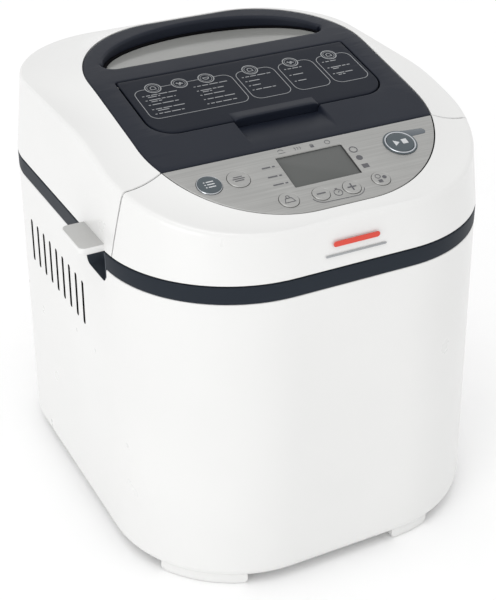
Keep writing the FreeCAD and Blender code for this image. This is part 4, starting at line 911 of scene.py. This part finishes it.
def lip_sections():
    """Side views of the lip from its left end to its right, shrinking to rounded ends."""
    sections = []
    steps = 30
    for step in range(steps + 1):
        x = -LIP_HALF_WIDTH + 2 * LIP_HALF_WIDTH * (0.5 - 0.5 * math.cos(math.pi * step / steps))
        rise = LIP_RISE * (1 - (abs(x) / LIP_HALF_WIDTH) ** 14) ** 0.5 if abs(x) < LIP_HALF_WIDTH else 0.0
        rise = max(rise, 0.25)
        profile = [(LIP_FRONT + 2.4, -5.4), (LIP_FRONT + 0.8, -5.4), (LIP_FRONT + 0.6, -1.2),
                   (LIP_FRONT, 0.3 * rise), (LIP_FRONT + 0.05, 0.85 * rise), (LIP_FRONT + 0.5, rise),
                   (LIP_FRONT + 2.6, 0.92 * rise),
                   (LIP_BACK - 3.0, 0.30 * rise), (LIP_BACK, 0.02), (LIP_BACK, -1.8)]
        sections.append([Vector((x, y, hatch_height(y) + lift)) for y, lift in profile])
    return sections


make_cover()

# ---------------------------------------------------------------------------
# Console panel
# ---------------------------------------------------------------------------

ALONG_Y = math.cos(PANEL_ANGLE)


def panel_matrix(across=0.0, along=0.0):
    """Places a thing made flat at the origin onto the panel's slope."""
    turn = Matrix.Rotation(PANEL_ANGLE, 4, "X")
    origin = Matrix.Translation(Vector((0, PANEL_BACK_Y, PANEL_BACK_Z)))
    return origin @ turn @ Matrix.Translation(Vector((across, along, 0.0)))


def panel_outline(inset):
    front_centre = -RIM_FRONT + RIM_FRONT_RADIUS
    back = PANEL_BACK_Y - SEAM_HALF_GAP - max(inset, -0.2)
    radius = RIM_FRONT_RADIUS - PANEL_GAP - inset
    half = RIM_HALF_WIDTH - PANEL_GAP - inset
    start_angle = math.asin((back - front_centre) / radius)
    right = []
    for step in range(41):
        angle = -math.pi / 2 + (start_angle + math.pi / 2) * step / 40
        right.append((half - radius + radius * math.cos(angle), front_centre + radius * math.sin(angle)))
    return with_mirror(right, 10, 4)


def panel_circle(across, along, radius):
    """A round hole in the slope, seen in plan, as a function of its inset into the sheet."""
    def points(inset):
        result = []
        for step in range(48):
            angle = -2 * math.pi * step / 48
            v = along + (radius + inset) * math.sin(angle)
            result.append((across + (radius + inset) * math.cos(angle), PANEL_BACK_Y + v * ALONG_Y))
        return result
    return points


BUTTONS = {
    "menu": (-72.5, -18.9, 8.0),
    "select": (-53.2, -19.1, 7.2),
    "weight": (-32.1, -44.9, 6.3),
    "minus": (-10.8, -45.9, 5.6),
    "plus": (10.3, -46.3, 5.8),
    "crust": (31.7, -44.9, 6.0),
    "start": (60.7, -18.9, 8.8),
}
START_RING_RADIUS = 11.2
DISPLAY = (-23.2, 23.2, -36.3, -8.2)


def panel_height(x, y):
    return PANEL_BACK_Z + (y - PANEL_BACK_Y) * math.tan(PANEL_ANGLE)


def display_opening(inset):
    low_x, high_x, low_v, high_v = DISPLAY
    outline = rounded_rectangle(low_x - inset, high_x + inset, low_v - inset, high_v + inset,
                                0.6 + inset, 0.6 + inset, 4, 8)
    return [(x, PANEL_BACK_Y + v * ALONG_Y) for x, v in outline]


def make_panel():
    holes = [(display_opening, 0.25)]
    for name, (across, along, radius) in BUTTONS.items():
        hole = START_RING_RADIUS - 0.6 if name == "start" else radius + 0.2
        holes.append((panel_circle(across, along, hole), 0.25))
    panel = plate("console_panel", panel_outline, holes, panel_height, 1.8, MATERIALS["brushed_panel"],
                  "base", 0.5, slice_step=60.0)
    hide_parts("control_panel_plate")


def make_panel_gap_shade():
    """Painted shade round the panel: a near-black band under the panel's edge, seen as a fine dark line in
    the gap round it.
    """
    loops = []
    for inset, drop in ((-0.75, 3.4), (-0.75, 0.6), (-0.08, 0.6), (-0.08, 3.4)):
        loops.append([Vector((x, y, panel_height(x, y) - drop)) for x, y in panel_outline(inset)])
    gap_shade = make_object("panel_gap_shade", loft(loops, closed_along=True), MATERIALS["dull_black"], body="base")


make_panel()
make_panel_gap_shade()

LATHE_STEPS = 64
RING_STEPS = 72


def make_placed(name, mesh_bm, place, material, body, smooth_angle=40.0):
    """An object of a mesh that was made at the origin and belongs at the place."""
    bmesh.ops.transform(mesh_bm, matrix=place, verts=mesh_bm.verts)
    return make_object(name, mesh_bm, material, smooth_angle, body)


def lathe(name, profile, place, material, body):
    """Turns (radius, height) rows about the place's own Z, and caps both ends."""
    loops = [[Vector((x, y, height)) for x, y in circle(0.0, 0.0, radius, LATHE_STEPS)]
             for radius, height in profile]
    return make_placed(name, loft(loops, cap_start=True, cap_end=True), place, material, body)


def ring(name, profile, place, material, body):
    """Turns a closed (radius, height) section about the place's own Z."""
    loops = []
    for step in range(RING_STEPS):
        angle = 2 * math.pi * step / RING_STEPS
        loops.append([Vector((radius * math.cos(angle), radius * math.sin(angle), height))
                      for radius, height in profile])
    return make_placed(name, loft(loops, closed_along=True), place, material, body)


KEY_LOW = -2.6
KEY_RISE = 0.45
ROUND_KEY_RISE = 0.75


def flat_cap(radius):
    """A metal key: nearly flush, its edge softly rounded over a barely hollow face."""
    rise = KEY_RISE
    return [(radius, KEY_LOW), (radius, rise - 0.45), (radius - 0.1, rise - 0.22),
            (radius - 0.35, rise - 0.06), (radius - 0.8, rise), (radius - 1.5, rise - 0.04),
            (radius * 0.5, rise - 0.07), (0.3, rise - 0.08)]


def domed_cap(radius):
    """A plastic key with a soft crown."""
    rise = ROUND_KEY_RISE
    rows = [(radius, KEY_LOW), (radius, rise - 0.5), (radius - 0.12, rise - 0.26),
            (radius - 0.4, rise - 0.10)]
    for share in (0.85, 0.7, 0.5, 0.3, 0.04):
        rows.append(((radius - 0.4) * share, rise - 0.10 + 0.12 * (1 - share * share)))
    return rows


def make_buttons():
    for name, (across, along, radius) in BUTTONS.items():
        place = panel_matrix(across, along)
        body = f"{name}_key"
        if name == "menu":
            inner = radius - 0.6
            cap = lathe("menu_cap", domed_cap(inner), place, MATERIALS["blue_grey_plastic"], body)
            rim = ring("menu_cap_rim", [(inner + 0.02, -2.4), (inner + 0.02, 0.35), (inner + 0.15, 0.55),
                                        (inner + 0.4, 0.5), (radius, 0.2), (radius, -2.4)],
                       place, MATERIALS["chrome_trim"], body)
        elif name == "start":
            cap = lathe("start_cap", domed_cap(radius + 0.2), place, MATERIALS["blue_grey_plastic"], body)
        else:
            cap = lathe(f"{name}_cap", flat_cap(radius), place, MATERIALS["silver_button"], body)
        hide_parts(f"{name}_button")


def make_start_ring():
    """A bright ring round the key inside a dark one."""
    across, along, radius = BUTTONS["start"]
    place = panel_matrix(across, along)
    outer = START_RING_RADIUS
    parting = outer - 0.95
    inner = radius + 0.35
    bezel = ring("start_bezel", [(parting, -1.9), (parting, 0.45), (parting + 0.25, 0.6), (outer - 0.2, 0.5),
                                 (outer, 0.25), (outer, 0.02), (outer - 0.7, 0.02), (outer - 0.7, -1.9)],
                 place, MATERIALS["blue_grey_plastic"], "base")
    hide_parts("start_button_ring")
    trim = ring("start_trim", [(inner, -1.9), (inner, 0.5), (inner + 0.3, 0.8), (parting - 0.35, 0.8),
                               (parting - 0.05, 0.55), (parting - 0.05, -1.9)],
                place, MATERIALS["chrome_trim"], "base")


def make_lamp():
    """The lamp's lens, a drop that runs from behind the start ring to a round end."""
    end_across, end_along, end_radius = 80.4, -12.7, 2.5
    outline = [(62.0, -8.2), (70.0, -9.2)]
    outline += arc_points(end_across, end_along, end_radius, 90, -90, 12)
    outline += [(72.0, -15.4), (62.0, -15.6)]
    loops = []
    for shrink, level in ((0.0, -1.5), (0.0, 0.12), (0.3, 0.3)):
        loops.append([Vector((end_across + (x - end_across) * (1 - shrink / 12) - (shrink if x > 82 else 0),
                              end_along + (v - end_along) * (1 - shrink / 3), level)) for x, v in outline])
    lens_bm = loft(loops, cap_start=True, cap_end=True)
    lens = make_placed("lamp_lens_drop", lens_bm, panel_matrix(), MATERIALS["lamp_lens"], "base")
    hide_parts("indicator_lens")


def display_loops(rows):
    """The display's outline, inset and lowered as the rows of (inset, level) say."""
    low_x, high_x, low_v, high_v = DISPLAY
    loops = []
    for inset, level in rows:
        outline = rounded_rectangle(low_x + inset, high_x - inset, low_v + inset, high_v - inset,
                                    0.5, 0.5, 4, 6)
        loops.append([Vector((x, v, level)) for x, v in outline])
    return loops


def make_display():
    """The display's window, set back in the panel behind a narrow black frame."""
    frame_rows = ((-0.1, -2.0), (-0.1, -0.75), (0.5, -0.75), (0.5, -2.0))
    frame_bm = loft(display_loops(frame_rows), closed_along=True)
    surround = make_placed("display_frame", frame_bm, panel_matrix(), MATERIALS["black_plastic"], "base")
    window_bm = loft(display_loops(((0.2, -2.0), (0.2, -1.05), (0.5, -0.9))), cap_start=True, cap_end=True)
    window = make_placed("display_window", window_bm, panel_matrix(), MATERIALS["display_glass"], "base")
    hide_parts("lcd_window")


make_buttons()
make_start_ring()
make_lamp()
make_display()

# ---------------------------------------------------------------------------
# Printing: thin closed strips just above a surface
# ---------------------------------------------------------------------------

PRINT_LIFT = 0.04
PRINT_THICKNESS = 0.05


class Printing:
    """Collects strips drawn flat in a surface's own plane, and makes one object of them."""

    def __init__(self, place, lift=PRINT_LIFT):
        self.place = place
        self.lift = lift
        self.mesh_bm = bmesh.new()

    def line(self, points, width, closed=False):
        """A strip of that width along a polyline, mitred at its corners."""
        sides = ([], [])
        count = len(points)
        for index, point in enumerate(points):
            before = points[index - 1] if index or closed else None
            after = points[(index + 1) % count] if index < count - 1 or closed else None
            normal = strip_normal(before, point, after)
            for side, sign in zip(sides, (0.5, -0.5)):
                side.append((point[0] + normal[0] * width * sign, point[1] + normal[1] * width * sign))
        low, high = self.lift, self.lift + PRINT_THICKNESS
        rings = [[self.vert(sides[0][i], low), self.vert(sides[1][i], low),
                  self.vert(sides[1][i], high), self.vert(sides[0][i], high)] for i in range(count)]
        pairs = list(zip(rings, rings[1:])) + ([(rings[-1], rings[0])] if closed else [])
        for first, second in pairs:
            bridge(self.mesh_bm, first, second)
        if not closed:
            self.mesh_bm.faces.new(rings[0])
            self.mesh_bm.faces.new(list(reversed(rings[-1])))

    def arc(self, centre, radius, start, end, width, steps=24):
        """A strip along an arc, angles in degrees; a full turn closes on itself."""
        full = abs(end - start) >= 360
        points = arc_points(*centre, radius, start, end, steps)
        self.line(points[:-1] if full else points, width, full)

    def patch(self, points):
        """A filled shape."""
        low, high = self.lift, self.lift + PRINT_THICKNESS
        bottom = [self.vert(point, low) for point in points]
        top = [self.vert(point, high) for point in points]
        self.mesh_bm.faces.new(top)
        self.mesh_bm.faces.new(list(reversed(bottom)))
        bridge(self.mesh_bm, bottom, top)

    def vert(self, point, level):
        return self.mesh_bm.verts.new((point[0], point[1], level))

    def finish(self, name, material, body, slot):
        printed = make_placed(name, self.mesh_bm, self.place, material, body, 30.0)
        return printed


def strip_normal(before, point, after):
    """The mitre direction of a strip at a point, longer at a corner."""
    directions = []
    for start, end in ((before, point), (point, after)):
        if start and end and start != end:
            dx, dy = end[0] - start[0], end[1] - start[1]
            length = math.hypot(dx, dy)
            directions.append((-dy / length, dx / length))
    x = sum(direction[0] for direction in directions) / len(directions)
    y = sum(direction[1] for direction in directions) / len(directions)
    square = max(0.25, x * x + y * y)
    return x / square, y / square


def hatch_matrix():
    """The hatch's plane, with v running back up the slope from its front edge."""
    slope = math.atan2(HATCH_BACK[1] - HATCH_FRONT[1], HATCH_BACK[0] - HATCH_FRONT[0])
    return Matrix.Translation(Vector((0, HATCH_FRONT[0], HATCH_FRONT[1]))) @ Matrix.Rotation(slope, 4, "X")


# The chart's frames: left edge, right edge, and where the badges sit on the top edge.
CHART_FRAMES = ((-78.0, -9.0, (-63.5, -44.8, -25.7)), (-6.0, 22.0, (6.4,)), (25.5, 51.5, (36.8,)),
                (54.5, 80.5, (66.5,)))
CHART_TOP = 51.4
CHART_BOTTOM = 17.8
BADGE_RADIUS = 5.2
# Rows of dashes that stand for the programmes: left edge, row ends, rows that have a second line.
CHART_COLUMNS = ((-74.0, (24.0, 21.0, 22.0, 24.0, 20.0), (0, 1, 3)),
                 (-38.0, (24.0, 19.0, 18.0, 22.0, 21.0), (1,)),
                 (-3.0, (21.0, 11.0, 9.0, 17.0), ()),
                 (28.5, (13.0, 12.0, 9.0), ()),
                 (57.5, (11.0, 17.0, 15.0), (1, 2)))
CHART_LINE = 0.42


def make_hatch_chart():
    chart = Printing(hatch_matrix())
    for left, right, badges in CHART_FRAMES:
        chart_frame(chart, left, right, badges)
        for index, across in enumerate(badges):
            chart.arc((across, CHART_TOP), BADGE_RADIUS, 0, 360, 0.7, 36)
            chart.arc((across, CHART_TOP), BADGE_RADIUS - 1.3, 0, 360, 0.3, 30)
            badge_sign(chart, across, (left + index * 7) % 3)
    for left, widths, doubled in CHART_COLUMNS:
        chart_column(chart, left, widths, doubled)
    chart.finish("hatch_chart", MATERIALS["print_grey"], "hatch", "anthracite_plastic")


def chart_frame(chart, left, right, badges):
    """A rounded frame whose top edge is broken where a badge sits."""
    radius = 6.0
    low, high = CHART_BOTTOM + radius, CHART_TOP - radius
    for x, y, start in ((left + radius, low, 180), (right - radius, low, 270), (right - radius, high, 0),
                        (left + radius, high, 90)):
        chart.arc((x, y), radius, start, start + 90, CHART_LINE, 8)
    chart.line([(left + radius, CHART_BOTTOM), (right - radius, CHART_BOTTOM)], CHART_LINE)
    for x in (left, right):
        chart.line([(x, low), (x, high)], CHART_LINE)
    stops = [left + radius]
    for across in badges:
        stops += [across - BADGE_RADIUS, across + BADGE_RADIUS]
    stops.append(right - radius)
    for start, end in zip(stops[::2], stops[1::2]):
        if end - start > 0.8:
            chart.line([(start, CHART_TOP), (end, CHART_TOP)], CHART_LINE)


def badge_sign(chart, across, kind):
    """A plain sign inside a badge: a loaf, a wave or a cup, drawn with strokes."""
    if kind < 1:
        chart.arc((across, CHART_TOP + 0.2), 1.7, 0, 180, 0.5, 10)
        chart.line([(across - 1.7, CHART_TOP + 0.2), (across - 1.7, CHART_TOP - 1.6),
                    (across + 1.7, CHART_TOP - 1.6), (across + 1.7, CHART_TOP + 0.2)], 0.5)
    elif kind < 2:
        wave = [(across - 2.2 + 0.4 * step, CHART_TOP + 0.9 * math.sin(step * 1.1)) for step in range(12)]
        chart.line(wave, 0.6)
        chart.line([(x, y - 1.4) for x, y in wave[3:9]], 0.5)
    else:
        chart.arc((across, CHART_TOP + 0.6), 1.9, 180, 360, 0.6, 10)
        chart.line([(across - 2.4, CHART_TOP + 0.9), (across + 2.4, CHART_TOP + 0.9)], 0.5)


def chart_column(chart, left, widths, doubled):
    """Rows of dashes, evenly spread over a column, each made of a few word-long strokes."""
    top = CHART_TOP - 7.4
    pitch = 21.0 / max(len(widths) - 1, 4) if len(widths) > 3 else 7.6
    for row, width in enumerate(widths):
        level = top - row * pitch
        chart.line([(left, level), (left + 1.4, level)], 0.7)
        dashes(chart, left + 2.6, level, width - 2.6, row)
        if row in doubled:
            dashes(chart, left + 3.2, level - 1.9, width * 0.35, row + 2)


def dashes(chart, start, level, width, seed):
    """Broken strokes as long as words; the seed only varies where they break."""
    position = start
    word = 0
    while position < start + width - 0.8:
        length = min(2.6 + 1.7 * ((seed * 7 + word * 5) % 4), start + width - position)
        chart.line([(position, level), (position + length, level)], 0.75)
        position += length + 0.9
        word += 1


make_hatch_chart()


def key_print(name, lift=KEY_RISE - 0.03):
    across, along, _ = BUTTONS[name]
    return Printing(panel_matrix(across, along), lift)


def make_panel_prints():
    """Signs on the panel and the keys: generic strokes, with no lettering."""
    panel = Printing(panel_matrix())
    for row, level in enumerate((-15.0, -23.4, -30.6)):
        for word, length in enumerate((5.6 + row * 0.7, 1.8)):
            start = -35.4 + word * (6.8 + row * 0.7)
            panel.line([(start, level - 0.1 * word), (start + length, level - 0.1 * word)], 1.1)
    panel.arc((-17.1, -4.4), 2.0, 20, 160, 0.35)
    panel.line([(-19.4, -5.6), (-14.6, -5.6)], 0.35)
    for step in range(3):
        panel.line([(-7.6 + step * 1.8, -5.6), (-7.0 + step * 1.8, -4.3), (-7.6 + step * 1.8, -3.0)], 0.35)
    panel.patch([(3.2, -6.2), (5.6, -6.2), (5.6, -4.2), (3.2, -4.2)])
    panel.arc((4.4, -4.2), 1.0, 0, 180, 0.4, 8)
    panel.arc((15.5, -4.4), 1.7, 0, 360, 0.35)
    panel.arc((28.2, -15.7), 2.5, 0, 360, 0.7)
    panel.patch(circle(28.3, -23.6, 2.3, 8))
    panel.patch([(26.2, -33.2), (30.6, -33.2), (30.6, -29.6), (26.2, -29.6)])
    panel.arc((0.0, -48.0), 2.7, 0, 360, 0.45)
    panel.line([(0.0, -48.0), (1.3, -46.7)], 0.5)
    panel.line([(-0.8, -44.6), (0.8, -44.6)], 0.6)
    bracket_under_keys(panel)
    panel.finish("panel_signs", MATERIALS["print_dark"], "base", "brushed_panel")
    minus = key_print("minus")
    minus.line([(-3.0, 0), (3.0, 0)], 1.0)
    minus.finish("minus_sign", MATERIALS["print_dark"], "minus_key", "silver_button")
    plus = key_print("plus")
    plus.line([(-3.0, 0), (3.0, 0)], 1.0)
    plus.line([(0, 0.5), (0, 3.0)], 1.0)
    plus.line([(0, -0.5), (0, -3.0)], 1.0)
    plus.finish("plus_sign", MATERIALS["print_dark"], "plus_key", "silver_button")
    weight = key_print("weight")
    weight.line([(-3.4, -2.2), (3.4, -2.2), (2.0, 1.2), (-2.0, 1.2)], 0.5, True)
    weight.arc((0, 2.3), 1.1, 0, 360, 0.45, 14)
    weight.finish("weight_sign", MATERIALS["print_dark"], "weight_key", "silver_button")
    crust = key_print("crust")
    crust.arc((-1.3, 2.0), 1.7, 0, 360, 0.45, 14)
    crust.patch(circle(2.6, 0.4, 1.5, 8))
    crust.patch([(-2.8, -3.4), (0.0, -3.4), (0.0, -1.0), (-2.8, -1.0)])
    crust.finish("crust_sign", MATERIALS["print_dark"], "crust_key", "silver_button")
    select = key_print("select")
    for level, half in ((1.6, 3.0), (0.0, 4.0), (-1.6, 3.0)):
        select.line([(-half, level), (half, level)], 0.7)
    select.finish("select_sign", MATERIALS["print_dark"], "select_key", "silver_button")
    menu = key_print("menu", ROUND_KEY_RISE + 0.02)
    for level in (2.2, 0.0, -2.2):
        menu.line([(-3.2, level), (-2.3, level)], 0.8)
        menu.line([(-1.4, level), (3.4, level)], 0.8)
    menu.finish("menu_sign", MATERIALS["print_white"], "menu_key", "blue_grey_plastic")
    start = key_print("start", ROUND_KEY_RISE + 0.02)
    start.patch([(-4.4, -2.6), (-4.4, 2.6), (-0.6, 0.0)])
    start.patch([(1.2, -2.1), (5.0, -2.1), (5.0, 2.1), (1.2, 2.1)])
    start.finish("start_sign", MATERIALS["print_white"], "start_key", "blue_grey_plastic")


def bracket_under_keys(panel):
    """The line that joins the minus and plus keys from below."""
    width, gap = 0.45, 1.9
    minus_across, minus_along, minus_radius = BUTTONS["minus"]
    plus_across, plus_along, plus_radius = BUTTONS["plus"]
    minus_reach, plus_reach = minus_radius + gap, plus_radius + gap
    panel.arc((minus_across, minus_along), minus_reach, 200, 270, width, 12)
    panel.line([(minus_across, minus_along - minus_reach), (plus_across, plus_along - plus_reach)], width)
    panel.arc((plus_across, plus_along), plus_reach, 270, 340, width, 12)


make_panel_prints()

# ---------------------------------------------------------------------------
# Feet
# ---------------------------------------------------------------------------


def make_foot(name, centre, outer_radius, first_angle, sweep):
    """A curved white foot: rounded ends and edges, running up into the casing's bottom round."""
    steps = 24
    sections = []
    arc_length = math.radians(sweep) * outer_radius
    end_round = 2.6
    for step in range(steps + 1):
        share = 0.5 - 0.5 * math.cos(math.pi * step / steps)
        angle = math.radians(first_angle + sweep * share)
        from_end = min(share, 1 - share) * arc_length
        lift = end_round - math.sqrt(max(0.0, end_round ** 2 - max(0.0, end_round - from_end) ** 2))
        direction = Vector((math.cos(angle), math.sin(angle), 0))
        profile = [(-12.0, 6.4), (-12.0, lift + 1.2), (-10.8, lift), (-1.4, lift), (-0.5, lift + 0.35),
                   (0.0, lift + 1.2), (0.0, 5.6), (-0.4, 8.3), (-3.0, 8.3)]
        sections.append([Vector((*centre, z)) + direction * (outer_radius + reach) for reach, z in profile])
    foot_bm = loft(sections, cap_start=True, cap_end=True)
    foot = make_object(name, foot_bm, MATERIALS["white_plastic"], 40.0, "base")
    return foot


def make_feet():
    front_x, front_y = BODY_HALF_WIDTH - FRONT_RADIUS, FRONT_RADIUS - BODY_HALF_DEPTH
    rear_x, rear_y = BODY_HALF_WIDTH - REAR_RADIUS, BODY_HALF_DEPTH - REAR_RADIUS
    front_reach = FRONT_RADIUS + BASE_FLARE - FOOT_INSET
    rear_reach = REAR_RADIUS + BASE_FLARE - FOOT_INSET
    foot = make_foot("foot_front_left", (-front_x, front_y), front_reach, 209.5, 40.0)
    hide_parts("front_foot_left")
    foot = make_foot("foot_front_right", (front_x, front_y), front_reach, 268.0, 20.0)
    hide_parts("front_foot_right")
    foot = make_foot("foot_rear_left", (-rear_x, rear_y), rear_reach, 120.0, 30.0)
    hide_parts("rear_feet")
    make_foot("foot_rear_right", (rear_x, rear_y), rear_reach, 30.0, 30.0)


make_feet()

# ---------------------------------------------------------------------------
# A plain mark on the front, where the maker's would be
# ---------------------------------------------------------------------------


def mark_strip(name, half_width, low, high, material):
    loops = []
    for reach in (-0.3, 0.03):
        radius = (high - low) / 2 - 0.05
        strip = rounded_rectangle(-half_width, half_width, low, high, radius, radius, 8, 6)
        loops.append([Vector((x, -BODY_HALF_DEPTH - reach, z)) for x, z in strip])
    strip = make_object(name, loft(loops, cap_start=True, cap_end=True), material, body="base")


def make_front_mark():
    """A small red bar over a thin grey line."""
    mark_strip("front_mark_bar", 16.0, 243.6, 247.2, MATERIALS["print_red"])
    mark_strip("front_mark_line", 21.0, 237.4, 238.6, MATERIALS["print_grey"])


make_front_mark()

# ---------------------------------------------------------------------------
# Stage, light and camera
# ---------------------------------------------------------------------------


def make_stage():
    floor_bm = bmesh.new()
    bmesh.ops.create_grid(floor_bm, x_segments=2, y_segments=2, size=3000.0)
    floor_material = moulded("floor_pale", (0.96, 0.96, 0.96), 0.7, 0.005, 60.0, 0.02, specular=0.2)
    floor = make_object("floor", floor_bm, floor_material)
    world = bpy.data.worlds.new("studio")
    bpy.context.scene.world = world
    world.use_nodes = True
    background = world.node_tree.nodes["Background"]
    background.inputs["Color"].default_value = (1.0, 1.0, 1.0, 1.0)
    background.inputs["Strength"].default_value = 0.92


def add_light(name, kind, power, direction):
    lamp = bpy.data.objects.new(name, bpy.data.lights.new(name, kind))
    lamp.data.energy = power
    lamp.rotation_euler = direction.to_track_quat("-Z", "Y").to_euler()
    bpy.context.scene.collection.objects.link(lamp)
    return lamp


def make_lights():
    """A far, wide light from above, and a near one at the left that shapes the front."""
    overhead = add_light("overhead", "SUN", 0.45, Vector((0.22, 0.26, -1.0)))
    overhead.data.angle = math.radians(30.0)
    place = Vector((-1.5, -0.95, 0.38))
    key = add_light("key", "AREA", 6.4, Vector((0, 0, 0.17)) - place)
    key.location = place
    key.data.size = 0.9


def make_camera():
    """The camera of the reference view: position, heading, tilt and a small roll."""
    heading, tilt, roll = 0.46690357, 0.532111625, -0.00666726
    location = Vector((-0.383825, -0.771465, 0.629665))
    level = math.cos(tilt)
    forward = Vector((math.sin(heading) * level, math.cos(heading) * level, -math.sin(tilt)))
    right = Vector((math.cos(heading), -math.sin(heading), 0.0))
    up = right.cross(forward)
    rolled_right = right * math.cos(roll) + up * math.sin(roll)
    rolled_up = up * math.cos(roll) - right * math.sin(roll)
    camera_data = bpy.data.cameras.new("reference_camera")
    camera_data.sensor_width = 36.0
    camera_data.lens = 82.5
    camera_data.clip_start = 0.01
    camera = bpy.data.objects.new("reference_camera", camera_data)
    rotation = Matrix((rolled_right, rolled_up, -forward)).transposed().to_4x4()
    camera.matrix_world = Matrix.Translation(location) @ rotation
    bpy.context.scene.collection.objects.link(camera)
    bpy.context.scene.camera = camera


make_stage()
make_lights()
make_camera()
bpy.context.scene.view_settings.view_transform = "Standard"
